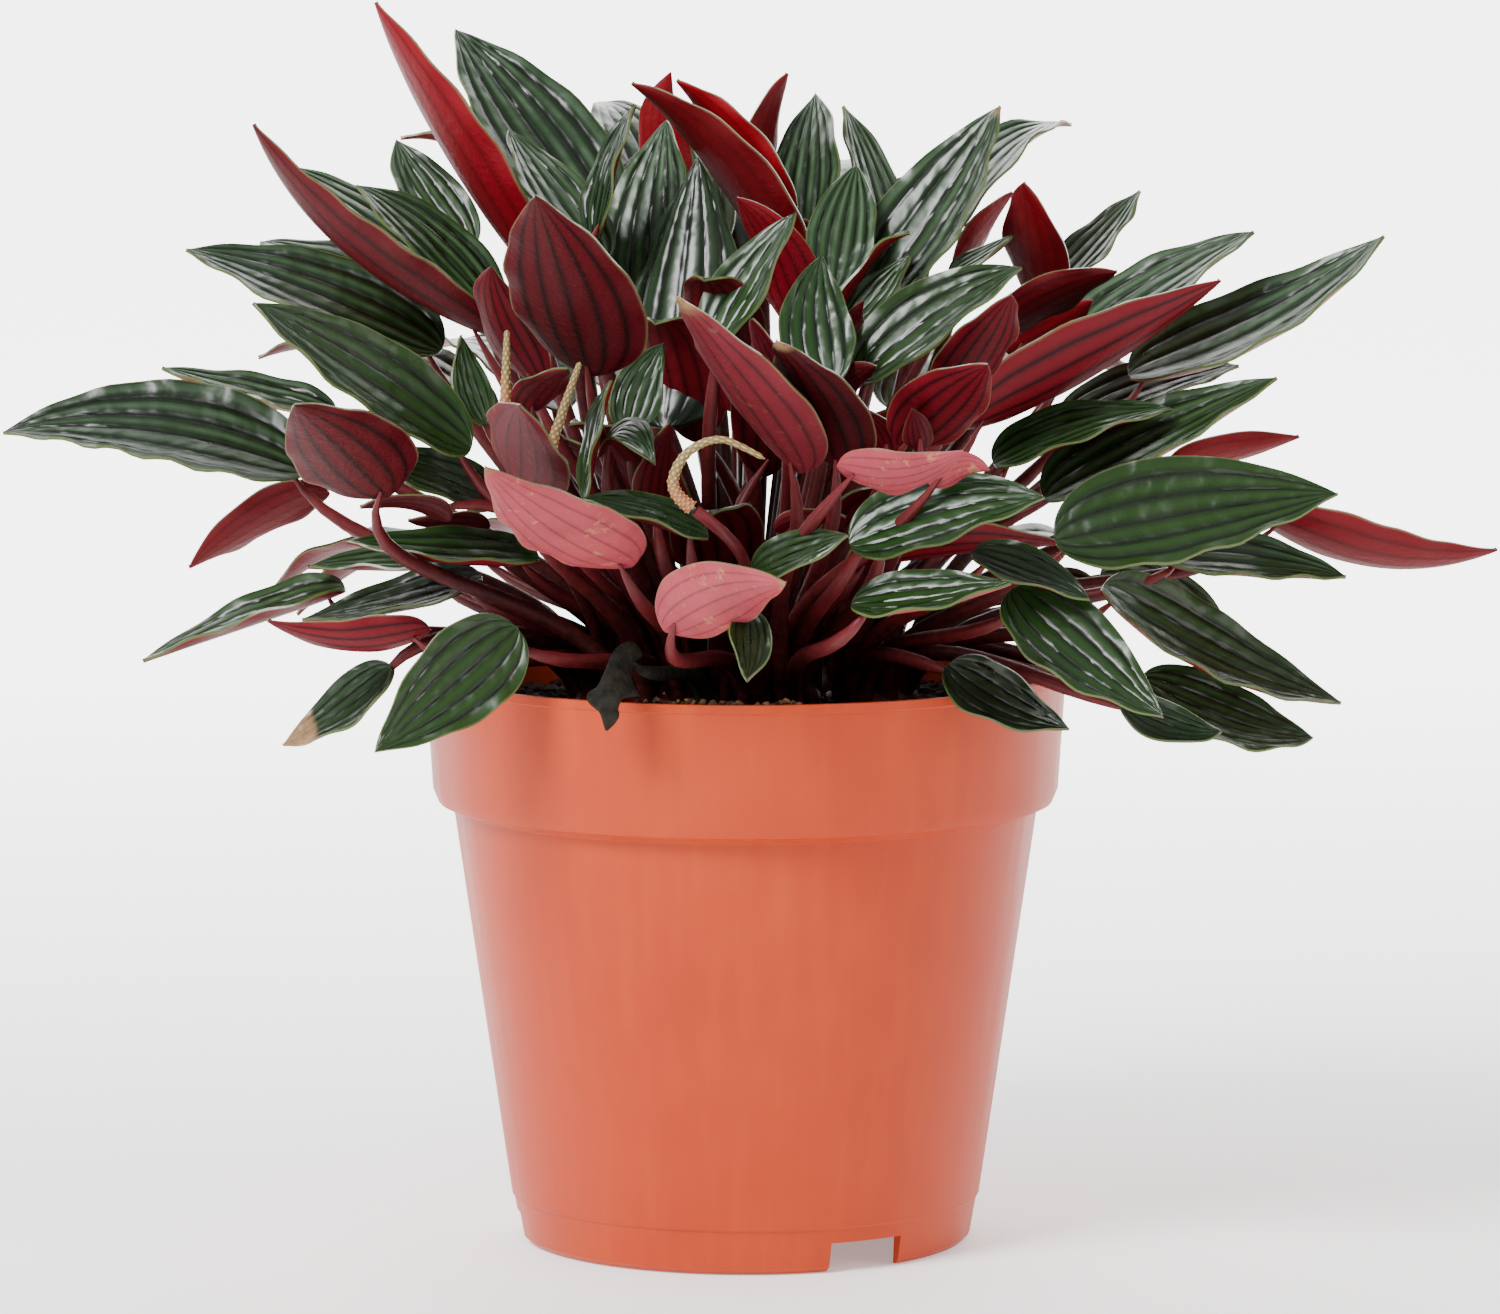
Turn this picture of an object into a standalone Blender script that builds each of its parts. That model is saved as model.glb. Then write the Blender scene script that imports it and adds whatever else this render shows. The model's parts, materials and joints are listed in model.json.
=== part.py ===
"""Ripple peperomia in its plastic nursery pot, every leaf laid from its place in the photograph."""
import math
import random

import bmesh
import bpy
from mathutils import Vector
from mathutils.bvhtree import BVHTree

MM = 0.001
GAP = 0.0003                 # air left between two pieces that rest in each other

# Pot, a 12 cm nursery pot
RIM_R = 0.060                # the rim's outside radius, the size everything else is scaled from
POT_H = 0.107
LIP_H = 0.0015               # thin ring on top of the collar
LIP_STEP = 0.0003
COLLAR_H = 0.0255
COLLAR_FOOT_R = 0.0584
COLLAR_ROUND = 0.0035
BODY_TOP_R = 0.0545
BAND_Z = 0.0085              # the line above the foot
BAND_R = 0.0439
BAND_INSET = 0.0004
FOOT_R = 0.0422
FOOT_ROUND = 0.0010
WALL = 0.0013
PLATE_Z = 0.0060             # underside of the raised base plate
POT_STEPS = 24
NOTCHES = 3
NOTCH_AZ = -58.4             # degrees from +X, to the right of the front
NOTCH_W = 0.0150
NOTCH_H = 0.0055
DRAINS = 4
DRAIN_R = 0.0040
DRAIN_SIDES = 6
DRAIN_RING_R = 0.0250

# Soil
SOIL_EDGE_Z = 0.0985
SOIL_DOME = 0.0025
SOCKET_TALL = 0.0040         # how far a hole's cutter stands out of the soil

# Crowns, the short stems that the petioles rise from
CROWN_R = 0.0062
CROWN_DEEP = 0.0090
CROWN_RISE = 0.0045
CROWN_SIDES = 7
OUTER_CROWNS, OUTER_RING_R, OUTER_AZ = 8, 0.0270, 10.0
INNER_CROWNS, INNER_RING_R, INNER_AZ = 3, 0.0095, 90.0
ROOT_SHARE = 0.45            # how far out a petiole is rooted, as a share of its leaf's place
ROOT_SPREAD = 0.0045

# Leaves
BLADE_T = 0.0008
WIDEST = 0.34                # where along the blade it is widest
ROUNDNESS, TAPER = 0.49, 0.95    # how round its base and how straight its sides to the tip
ASPECT = 0.46                # a blade's width over its length
BIG_LEAF = 0.053             # blades longer than this get the finer grid
BIG_ROWS = (0.0, 0.15, 0.42, 0.75, 1.0)
BIG_COLS = (-1.0, -0.55, 0.0, 0.55, 1.0)
SMALL_ROWS = (0.0, 0.25, 0.65, 1.0)
SMALL_COLS = (-1.0, 0.0, 1.0)
PETIOLE_ROOT_R = 0.0018
PETIOLE_TIP_R = 0.0012
PETIOLE_SIDES = 3
PETIOLE_SUNK = 0.0035        # how far a petiole runs on under its blade
PETIOLE_PARTS = 3
PETIOLE_RISE = 0.38          # how far it keeps upright, and how far it has turned to the blade
PETIOLE_ARRIVE = 0.36
SCRAP_VERTS = 12             # a loose scrap of a union has fewer corners than the least leaf
MARGIN = 0.0004              # clearance kept between one shoot's leaves and another's

# The photograph's camera, read off the ellipses of the pot's rim and foot, and its size in pixels
IMAGE_W, IMAGE_H = 1500, 1314
FOCAL_PX = 7820.0
CAMERA = Vector((0.00084, -1.45, 0.273))
TARGET = Vector((0.00084, 0.0, 0.109))

# One row a leaf, read by eye off the photograph: its name; the blade's base, middle and tip in pixels;
# its widest seen width in pixels; T where the top is turned to the camera and U the underside; how far
# behind (+) or before (-) the pot's axis base and tip lie, in mm; and how far its edges are raised (+)
# or turned down (-), in degrees.
LEAVES = (
    ("A1", 305, 473, 150, 432, 3, 433, 85, "T", 0, 5, 34),
    ("A2", 335, 415, 245, 396, 162, 368, 28, "T", 15, 22, 40),
    ("A3", 387, 496, 342, 450, 294, 404, 105, "U", -45, -85, 25),
    ("A4", 470, 450, 352, 372, 253, 303, 75, "T", -35, -45, 34),
    ("A5", 440, 352, 310, 292, 186, 250, 75, "T", 0, 10, 26),
    ("A6", 420, 300, 330, 262, 260, 243, 30, "T", 35, 45, 30),
    ("A7", 492, 335, 345, 248, 254, 124, 38, "U", -10, -20, 42),
    ("A8", 490, 310, 385, 232, 284, 165, 50, "T", 5, 15, 24),
    ("A9", 500, 322, 425, 238, 356, 186, 55, "T", -2, 5, 24),
    ("A10", 540, 385, 500, 320, 492, 266, 50, "U", -30, -45, 30),
    ("B1", 590, 375, 565, 285, 536, 195, 125, "U", -40, -85, 22),
    ("B2", 528, 268, 437, 128, 376, 2, 42, "U", -5, -15, 40),
    ("B3", 605, 235, 525, 120, 455, 30, 103, "T", 20, 45, 22),
    ("B4", 470, 250, 425, 190, 396, 140, 60, "T", 28, 42, 24),
    ("B5", 602, 262, 550, 190, 508, 130, 55, "T", 8, 25, 24),
    ("B6", 592, 215, 590, 170, 597, 127, 30, "T", 18, 28, 24),
    ("B7", 597, 240, 610, 170, 635, 105, 25, "T", 5, 12, 30),
    ("B8", 645, 330, 652, 215, 667, 120, 88, "T", 5, 25, 24),
    ("B8b", 625, 300, 618, 215, 643, 147, 40, "T", 12, 30, 24),
    ("B9", 665, 428, 682, 285, 698, 158, 113, "T", -12, 10, -42),
    ("B10", 792, 292, 715, 165, 632, 83, 45, "U", 12, 0, 44),
    ("B11", 786, 232, 728, 140, 677, 80, 35, "U", 20, 12, 42),
    ("B12", 685, 185, 660, 130, 671, 72, 50, "U", 30, 28, 30),
    ("B13", 762, 212, 745, 155, 726, 108, 35, "U", 30, 35, 30),
    ("B14", 757, 200, 768, 130, 787, 73, 30, "U", 40, 42, 30),
    ("C1", 800, 255, 808, 165, 816, 94, 72, "T", 18, 42, 26),
    ("C2", 885, 250, 868, 175, 843, 106, 45, "T", 40, 52, 26),
    ("C3", 835, 290, 845, 220, 857, 165, 68, "T", 2, 20, 26),
    ("C4", 865, 312, 940, 205, 1000, 106, 85, "T", 0, 10, 36),
    ("C4b", 860, 262, 890, 205, 918, 174, 30, "T", 36, 45, 26),
    ("C5", 845, 332, 882, 290, 911, 255, 35, "T", -12, -8, 26),
    ("C6", 856, 382, 940, 312, 1022, 268, 65, "T", -28, -25, 36),
    ("C7", 828, 388, 815, 320, 822, 255, 76, "T", -38, -22, 26),
    ("C8", 712, 347, 750, 278, 796, 213, 52, "T", -25, -18, 30),
    ("C9", 800, 332, 778, 255, 737, 197, 60, "U", -5, -12, 30),
    ("C10", 845, 372, 850, 335, 863, 300, 30, "U", -15, -18, 30),
    ("C11", 838, 392, 855, 375, 877, 366, 28, "U", -40, -48, 30),
    ("D1", 800, 472, 738, 388, 677, 296, 58, "U", -55, -85, 42),
    ("D2", 840, 470, 812, 400, 776, 341, 70, "U", -50, -80, 38),
    ("D3", 790, 420, 768, 365, 752, 318, 35, "U", -42, -55, 32),
    ("D4", 888, 455, 880, 430, 862, 408, 28, "U", -48, -58, 32),
    ("D5", 838, 465, 900, 476, 963, 450, 45, "U", -65, -75, 34),
    ("D6", 930, 485, 962, 466, 990, 470, 28, "U", -58, -62, 34),
    ("D7", 922, 450, 918, 430, 912, 408, 30, "U", -58, -65, 32),
    ("D9", 900, 445, 948, 402, 988, 364, 75, "U", -45, -70, 28),
    ("D10", 945, 400, 985, 345, 1011, 294, 58, "U", -35, -55, 28),
    ("D11", 965, 425, 1100, 362, 1220, 280, 55, "U", -22, -5, 44),
    ("D12", 1060, 357, 1160, 288, 1254, 232, 50, "T", 5, 12, 26),
    ("D13", 1040, 305, 1030, 240, 1024, 182, 60, "U", 5, -15, 28),
    ("D14", 955, 275, 985, 228, 1012, 192, 20, "U", 15, 20, 30),
    ("D15", 1050, 292, 1100, 240, 1140, 191, 38, "T", 25, 35, 26),
    ("D16", 1000, 330, 1060, 295, 1117, 271, 42, "U", -8, -12, 32),
    ("D17", 1005, 350, 1055, 325, 1092, 300, 40, "U", -4, -6, 32),
    ("D19", 950, 275, 985, 255, 1012, 236, 18, "T", -5, 0, 26),
    ("E1", 1130, 378, 1268, 325, 1384, 236, 62, "T", 5, 15, 36),
    ("E2", 1060, 428, 1155, 388, 1239, 366, 48, "T", -2, 5, 30),
    ("E3", 1045, 500, 1160, 440, 1277, 378, 60, "T", -18, -10, 38),
    ("E4", 995, 466, 1080, 428, 1172, 409, 40, "T", -8, -2, 30),
    ("E5", 1165, 470, 1235, 455, 1299, 436, 28, "U", 5, 10, 44),
    ("E6", 1055, 541, 1200, 512, 1338, 494, 105, "T", -38, -35, 30),
    ("E7", 1262, 515, 1380, 562, 1497, 549, 38, "U", 2, 10, 46),
    ("E8", 1160, 560, 1260, 566, 1346, 577, 45, "T", -8, -2, 38),
    ("E9", 1102, 588, 1212, 658, 1341, 703, 62, "T", -20, -10, 38),
    ("E10", 1100, 577, 1175, 602, 1245, 655, 50, "T", -5, 0, 28),
    ("E11", 1012, 590, 1085, 658, 1163, 717, 82, "T", -48, -65, 24),
    ("E12", 1120, 700, 1175, 728, 1222, 731, 40, "T", -38, -38, 40),
    ("E13", 1140, 680, 1235, 722, 1313, 738, 62, "T", -15, -8, 28),
    ("F1", 948, 665, 1005, 703, 1069, 729, 58, "T", -44, -54, 40),
    ("F2", 852, 605, 930, 598, 1011, 583, 42, "T", -52, -60, 38),
    ("F3", 972, 553, 1035, 575, 1090, 600, 38, "T", -42, -48, 38),
    ("F4", 850, 545, 950, 510, 1045, 498, 72, "T", -45, -50, 26),
    ("F5", 865, 540, 915, 512, 956, 488, 38, "T", -55, -62, 30),
    ("F6", 845, 567, 950, 550, 1062, 543, 30, "U", -38, -35, 40),
    ("G1", 632, 565, 557, 532, 485, 467, 78, "U", -65, -95, 30),
    ("G2", 665, 630, 722, 597, 786, 583, 75, "U", -70, -95, 30),
    ("G3", 748, 612, 751, 650, 747, 681, 42, "T", -62, -74, 30),
    ("G4", 752, 573, 800, 552, 848, 535, 40, "T", -50, -58, 30),
    ("G5", 775, 530, 812, 520, 846, 517, 20, "U", -45, -50, 34),
    ("G6", 708, 538, 642, 515, 581, 499, 30, "T", -48, -55, 44),
    ("G7", 655, 515, 660, 468, 669, 423, 40, "U", -42, -55, 30),
    ("G8", 600, 455, 628, 432, 655, 465, 30, "T", -35, -50, 20),
    ("G9", 586, 500, 598, 432, 611, 380, 14, "T", -38, -42, 30),
    ("G10", 628, 432, 640, 385, 664, 343, 52, "T", -25, -18, 28),
    ("G13", 485, 425, 468, 380, 461, 335, 36, "T", -32, -28, 28),
    ("G14", 528, 412, 545, 388, 568, 368, 40, "U", -42, -60, 30),
    ("G15", 522, 488, 522, 445, 520, 405, 82, "U", -48, -85, 24),
    ("G16", 500, 502, 432, 476, 368, 456, 48, "T", -40, -48, 30),
    ("G18", 540, 560, 440, 556, 347, 541, 32, "T", -35, -40, 44),
    ("G19", 490, 525, 450, 525, 408, 520, 20, "U", -25, -27, 30),
    ("G20", 470, 563, 390, 565, 308, 567, 28, "T", -20, -20, 42),
    ("G21", 482, 578, 400, 603, 302, 620, 36, "T", -30, -30, 34),
    ("G22", 430, 628, 350, 645, 268, 620, 30, "U", -32, -32, 46),
    ("G23", 345, 590, 250, 622, 143, 661, 28, "T", -10, -5, 40),
    ("G24", 393, 668, 342, 712, 283, 745, 45, "T", -22, -16, 38),
    ("G25", 517, 628, 447, 690, 375, 752, 95, "T", -48, -62, 22),
    ("G26", 328, 490, 255, 527, 189, 567, 43, "U", -5, 0, 34),
    ("G27", 450, 520, 410, 505, 360, 507, 16, "U", -30, -34, 30),
)

# Leaves that the photograph hides, on the far side and in the dark middle: tiers of the same dome.
# Each tier: how many leaves, first and last azimuth, the blade base's radius and height, the tip's,
# in mm, and the width.
TIERS = (
    (8, 12.0, 168.0, 58, 124, 98, 113, 23),
    (7, 28.0, 156.0, 50, 152, 96, 160, 22),
    (6, 35.0, 145.0, 38, 176, 74, 200, 20),
    (6, 200.0, 340.0, 18, 128, 44, 150, 18),
    (4, 215.0, 325.0, 12, 150, 30, 178, 17),
)
TIER_NUDGES = (0, 6, -6, 12, -12)   # degrees a hidden leaf may turn to come clear
TIER_LIFTS = (0, 6, -6)             # and mm it may rise
SEED = 7

# Ways for a petiole to pass the others: sideways bow in x and y in mm, and how much it rises into
# the blade.
BOWS = (
    (0, 0, 0.8), (0, 0, 0.2), (7, 0, 0.8), (-7, 0, 0.8), (0, 7, 0.8), (0, -7, 0.8), (13, 0, 0.6),
    (-13, 0, 0.6), (0, 13, 0.6), (0, -13, 0.6), (0, 0, -0.5), (10, 10, 0.3), (-10, 10, 0.3),
    (10, -10, 0.3), (-10, -10, 0.3),
)
DEPTH_SHIFTS = (0, 3, -3, 6, -6, 9, -9, 13, -13)   # mm along its line of sight that a leaf may move

# Flower spikes: the points of the spike from foot to tip in pixels, their depth in mm, the foot's and
# tip's thickness in pixels, then the stalk's root in the soil in mm.
SPIKES = (
    ("spike_left", ((505, 410), (506, 370), (507, 330)), -52, 12, 6, (-25.4, -15.9)),
    ("spike_middle", ((556, 492), (552, 450), (560, 420), (570, 390), (580, 362)), -58, 14, 6,
     (-16.1, -10.1)),
    ("spike_hook", ((692, 508), (680, 498), (673, 483), (680, 462), (697, 446), (725, 440), (765, 459)),
     -72, 15, 6, (-3.6, -17.5)),
)
SPIKE_SIDES = 6
STALK_R = 0.0011
SPIKE_GAP = 0.0008           # air between a stalk's end and its spike's foot
STALK_PARTS = 6
STALK_DEEP = 0.0060
STALK_RISE = 0.0020

# The withered leaf that hangs over the rim, in pixels, its depth in mm and its root in mm
WITHERED = ((640, 655, -57), (613, 686, -66), (607, 730, -68), (-7.5, -29.4))
WITHERED_W = 0.0090
WITHERED_CUP = 75
PEG_R = 0.0024               # the straight foot of its stem, in the soil

FORWARD = (TARGET - CAMERA).normalized()
RIGHT = FORWARD.cross(Vector((0, 0, 1))).normalized()
UP = RIGHT.cross(FORWARD)


def on_ray(px, py, depth):
    """The point in space behind a pixel of the photograph, at y = depth in mm."""
    ray = FORWARD + RIGHT * ((px - IMAGE_W / 2) / FOCAL_PX) - UP * ((py - IMAGE_H / 2) / FOCAL_PX)
    return CAMERA + ray * ((depth * MM - CAMERA.y) / ray.y)


def seen_size(pixels, at):
    return pixels / FOCAL_PX * (at - CAMERA).dot(FORWARD)


def soil_z(x, y):
    share = min(1.0, math.hypot(x, y) / (RIM_R - WALL))
    return SOIL_EDGE_Z + SOIL_DOME * (1 - share * share)


# Shapes as plain vertices and triangles

def bezier(a, b, c, d, t):
    s = 1 - t
    return a * s ** 3 + b * 3 * s * s * t + c * 3 * s * t * t + d * t ** 3


def tube(points, radii, sides):
    """A closed tube along points: vertices and triangles."""
    verts, faces = [], []
    side = None
    for i, p in enumerate(points):
        along = (points[min(i + 1, len(points) - 1)] - points[max(i - 1, 0)]).normalized()
        if side is None:
            side = along.orthogonal().normalized()
        side = (side - along * side.dot(along)).normalized()
        other = along.cross(side)
        for k in range(sides):
            turn = 2 * math.pi * k / sides
            verts.append(p + (side * math.cos(turn) + other * math.sin(turn)) * radii[i])
    for i in range(len(points) - 1):
        for k in range(sides):
            a, b = i * sides + k, i * sides + (k + 1) % sides
            faces += [(a, b, b + sides), (a, b + sides, a + sides)]
    last = (len(points) - 1) * sides
    for k in range(1, sides - 1):
        faces += [(0, k + 1, k), (last, last + k, last + k + 1)]
    return verts, faces


def outline(u):
    """Half-width along a blade, 1 where it is widest."""
    rise = (max(u, 0.012) / WIDEST) ** ROUNDNESS
    return rise * (max(1 - u, 0.03) / (1 - WIDEST)) ** TAPER


class Leaf:
    """A blade bent along base, middle and tip, cupped across, with its top on the normal's side."""

    def __init__(self, name, base, mid, tip, width, cup, normal):
        self.name, self.base, self.tip = name, base, tip
        self.handle = mid * 2 - (base + tip) / 2
        self.width, self.cup, self.normal = width, math.radians(cup), normal
        self.length = (mid - base).length + (tip - mid).length

    def point(self, u):
        return self.base * (1 - u) ** 2 + self.handle * 2 * u * (1 - u) + self.tip * u * u

    def along(self, u):
        return ((self.handle - self.base) * (1 - u) + (self.tip - self.handle) * u).normalized()

    def frame(self, u):
        along = self.along(u)
        normal = (self.normal - along * self.normal.dot(along)).normalized()
        return self.point(u), along, along.cross(normal), normal


def blade(leaf, thick):
    """A leaf's blade: vertices, triangles and, for each triangle, 0 for top and 1 for underside."""
    big = leaf.length > BIG_LEAF
    rows, cols = (BIG_ROWS, BIG_COLS) if big else (SMALL_ROWS, SMALL_COLS)
    top, under = [], []
    for u in rows:
        p, _, across, normal = leaf.frame(u)
        half = leaf.width / 2 * outline(u)
        for s in cols:
            bend = leaf.cup * s
            centre = (p + across * (half * math.sin(bend) / leaf.cup)
                      + normal * (half * (1 - math.cos(bend)) / leaf.cup))
            out = normal * math.cos(bend) - across * math.sin(bend)
            top.append(centre + out * thick / 2)
            under.append(centre - out * thick / 2)
    n, nr, nc = len(top), len(rows), len(cols)
    faces, sides = [], []
    for i in range(nr - 1):
        for j in range(nc - 1):
            a, b, c, d = i * nc + j, i * nc + j + 1, (i + 1) * nc + j + 1, (i + 1) * nc + j
            faces += [(a, b, c), (a, c, d), (a + n, c + n, b + n), (a + n, d + n, c + n)]
            sides += [0, 0, 1, 1]
    rim = [j for j in range(nc)] + [i * nc + nc - 1 for i in range(1, nr)]
    rim += [(nr - 1) * nc + j for j in range(nc - 2, -1, -1)] + [i * nc for i in range(nr - 2, 0, -1)]
    for v, w in zip(rim, rim[1:] + rim[:1]):
        faces += [(w, v, v + n), (w, v + n, w + n)]
        sides += [0, 0]
    return top + under, faces, sides


def petiole_path(leaf, root, bow, parts):
    """From a crown to the blade's base."""
    bow_x, bow_y, rise = bow
    p, along, _, normal = leaf.frame(0.0)
    end = p + along * PETIOLE_SUNK - normal * PETIOLE_TIP_R * 0.3
    reach = (end - root).length
    heading = (along * 0.6 + Vector((0, 0, rise))).normalized()
    bend = Vector((bow_x, bow_y, 0)) * MM
    first = root + Vector((0, 0, 1)) * reach * PETIOLE_RISE + bend
    second = end - heading * reach * PETIOLE_ARRIVE + bend
    return [bezier(root, first, second, end, i / parts) for i in range(parts + 1)]


def petiole(leaf, root, bow):
    """The tube from a crown to the blade's base."""
    points = petiole_path(leaf, root, bow, PETIOLE_PARTS)
    thinner = PETIOLE_TIP_R - PETIOLE_ROOT_R
    radii = [PETIOLE_ROOT_R + thinner * i / PETIOLE_PARTS for i in range(PETIOLE_PARTS + 1)]
    return tube(points, radii, PETIOLE_SIDES)


# Where everything goes

def face_angle(width, cup, seen):
    """How far a blade is turned from the camera, in radians, to look as narrow as it does."""
    half, best = width / 2 / cup, (9.0, 0.0)
    for step in range(31):
        turn = math.radians(3 * step)
        lift = half * (1 - math.cos(cup)) * math.sin(turn)
        edges = [lift - half * math.sin(cup) * math.cos(turn), 0,
                 lift + half * math.sin(cup) * math.cos(turn)]
        best = min(best, (abs(max(edges) - min(edges) - seen), turn))
    return best[1]


def photo_leaf(row, shift):
    """The leaf of a table row, moved by shift mm along its lines of sight."""
    name, bx, by, mx, my, tx, ty, seen_px, side, base_d, tip_d, cup = row
    base = on_ray(bx, by, base_d + shift)
    mid = on_ray(mx, my, (base_d + tip_d) / 2 + shift)
    tip = on_ray(tx, ty, tip_d + shift)
    seen = seen_size(seen_px, mid)
    bend = math.radians(abs(cup))
    width = max((tip - base).length * ASPECT, seen * bend / math.sin(bend))
    turn = face_angle(width, bend, seen)
    if side == "U":
        turn = math.pi - turn
    along = (tip - base).normalized()
    to_camera = (CAMERA - mid).normalized()
    facing = (to_camera - along * to_camera.dot(along)).normalized()
    upward = along.cross(facing)
    if upward.z < 0:
        upward = -upward
    return Leaf(name, base, mid, tip, width, cup, facing * math.cos(turn) + upward * math.sin(turn))


def tier_leaf(name, azimuth, lift, tier, jitter):
    """A leaf of the far side from its tier's radii and heights."""
    _, _, _, base_r, base_z, tip_r, tip_z, width = tier
    out = Vector((math.cos(math.radians(azimuth)), math.sin(math.radians(azimuth)), 0))
    base = out * base_r * MM + Vector((0, 0, base_z + lift)) * MM
    tip = out * (tip_r + jitter[0]) * MM + Vector((0, 0, tip_z + lift + jitter[1])) * MM
    tip += Vector((-out.y, out.x, 0)) * jitter[2] * MM
    mid = (base + tip) / 2 + Vector((0, 0, 0.007))
    return Leaf(name, base, mid, tip, width * MM, 26, Vector((0, 0, 1)) + out * 0.1)


def crowns():
    """Where the crowns stand, x and y."""
    rings = ((OUTER_CROWNS, OUTER_RING_R, OUTER_AZ), (INNER_CROWNS, INNER_RING_R, INNER_AZ))
    spots = []
    for count, radius, first in rings:
        for k in range(count):
            turn = math.radians(first + 360 * k / count)
            spots.append(Vector((math.cos(turn), math.sin(turn), 0)) * radius)
    return spots


def rooted(leaf):
    """The crown a leaf belongs to, and where on it its petiole is rooted."""
    wish = Vector((leaf.base.x, leaf.base.y, 0)) * ROOT_SHARE
    spots = crowns()
    shoot = min(range(len(spots)), key=lambda k: (spots[k] - wish).length)
    spot = spots[shoot]
    off = wish - spot
    if off.length > ROOT_SPREAD:
        off *= ROOT_SPREAD / off.length
    at = spot + off
    return shoot, Vector((at.x, at.y, soil_z(spot.x, spot.y) + CROWN_RISE - 0.0022))


def shell(profile, steps):
    """A closed band of revolution around the pot's axis, only to test against."""
    verts, faces = [], []
    for k in range(steps):
        turn = 2 * math.pi * k / steps
        verts += [Vector((r * math.cos(turn), r * math.sin(turn), z)) for r, z in profile]
    n = len(profile)
    for k in range(steps):
        for i in range(n):
            a, b = k * n + i, k * n + (i + 1) % n
            c, d = (a + n) % (steps * n), (b + n) % (steps * n)
            faces += [(a, c, d), (a, d, b)]
    return verts, faces


def crown_tube(spot):
    low = Vector((spot.x, spot.y, soil_z(spot.x, spot.y) - CROWN_DEEP))
    return tube([low, low + Vector((0, 0, CROWN_DEEP + CROWN_RISE))], [CROWN_R] * 2, CROWN_SIDES)


class Placing:
    """What has been placed so far, and which shoots have grown into one."""

    def __init__(self):
        self.solids = []
        self.joined = list(range(len(crowns())))

    def root_of(self, owner):
        while isinstance(owner, int) and self.joined[owner] != owner:
            owner = self.joined[owner]
        return owner

    def put(self, owner, verts, faces):
        low = [min(v[i] for v in verts) for i in range(3)]
        high = [max(v[i] for v in verts) for i in range(3)]
        self.solids.append((owner, low, high, BVHTree.FromPolygons(verts, faces)))

    def crossed(self, owner, verts, faces):
        """The other pieces that this solid cuts, and how many of its own shoot's."""
        low = [min(v[i] for v in verts) for i in range(3)]
        high = [max(v[i] for v in verts) for i in range(3)]
        own, found, within, tree = self.root_of(owner), set(), 0, None
        for other, a, b, solid in self.solids:
            other = self.root_of(other)
            if other in found or any(low[i] > b[i] or high[i] < a[i] for i in range(3)):
                continue
            tree = tree or BVHTree.FromPolygons(verts, faces)
            if not tree.overlap(solid):
                continue
            if other == own:
                within += 1
            else:
                found.add(other)
        return found, within


def settle(placing, leaves):
    """Of a leaf's candidates the one that cuts fewest other shoots, then fewest of its own."""
    best = None
    for leaf in leaves:
        shoot, root = rooted(leaf)
        wide, within = placing.crossed(shoot, *blade(leaf, BLADE_T + 2 * MARGIN)[:2])
        if best and (len(wide), within) >= best[0]:
            continue
        for bow in BOWS:
            more, again = placing.crossed(shoot, *petiole(leaf, root, bow))
            score = (len(wide | more), within + again)
            if best is None or score < best[0]:
                best = (score, wide | more, leaf, shoot, root, bow)
            if score <= (0, 1):
                return best
    return best


def place_leaves(fixed):
    """Every leaf, each clear of the other shoots or grown into one with the shoot it cuts."""
    placing = Placing()
    for owner, verts, faces in fixed:
        placing.put(owner, verts, faces)
    for k, spot in enumerate(crowns()):
        placing.put(k, *crown_tube(spot))
    queue = []
    for row in LEAVES:
        queue.append([photo_leaf(row, shift) for shift in DEPTH_SHIFTS])
    queue.sort(key=lambda options: -options[0].length * options[0].width)
    rng = random.Random(SEED)
    for t, tier in enumerate(TIERS):
        for k in range(tier[0]):
            azimuth = tier[1] + (tier[2] - tier[1]) * k / (tier[0] - 1)
            jitter = [rng.uniform(-5, 5), rng.uniform(-6, 6), rng.uniform(-9, 9)]
            queue.append([tier_leaf("tier%d_%d" % (t, k), azimuth + nudge, lift, tier, jitter)
                          for nudge in TIER_NUDGES for lift in TIER_LIFTS])
    placed = []
    for options in queue:
        _, cut, leaf, shoot, root, bow = settle(placing, options)
        hidden = leaf.name.startswith("tier")
        if any(not isinstance(other, int) for other in cut) or (hidden and cut):
            continue
        for other in cut:
            placing.joined[placing.root_of(other)] = placing.root_of(shoot)
        placing.put(shoot, *blade(leaf, BLADE_T)[:2])
        placing.put(shoot, *petiole(leaf, root, bow))
        placed.append((leaf, shoot, root, bow))
    groups = {}
    for leaf, shoot, root, bow in placed:
        groups.setdefault(placing.root_of(shoot), []).append((leaf, root, bow))
    for k in range(len(crowns())):
        groups.setdefault(placing.root_of(k), [])
    members = {g: [k for k in range(len(crowns())) if placing.root_of(k) == g] for g in groups}
    return groups, members


def collar_step_z():
    return POT_H - COLLAR_H


def body_r(z):
    return BAND_R + (BODY_TOP_R - BAND_R) * (z - BAND_Z) / (collar_step_z() - BAND_Z)


def inner_r(z):
    """The pot's inside radius at a height."""
    step = collar_step_z() + WALL
    if z < step:
        return body_r(z) - WALL
    return COLLAR_FOOT_R - WALL + (RIM_R - COLLAR_FOOT_R) * (z - step) / (POT_H - step)


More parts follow.
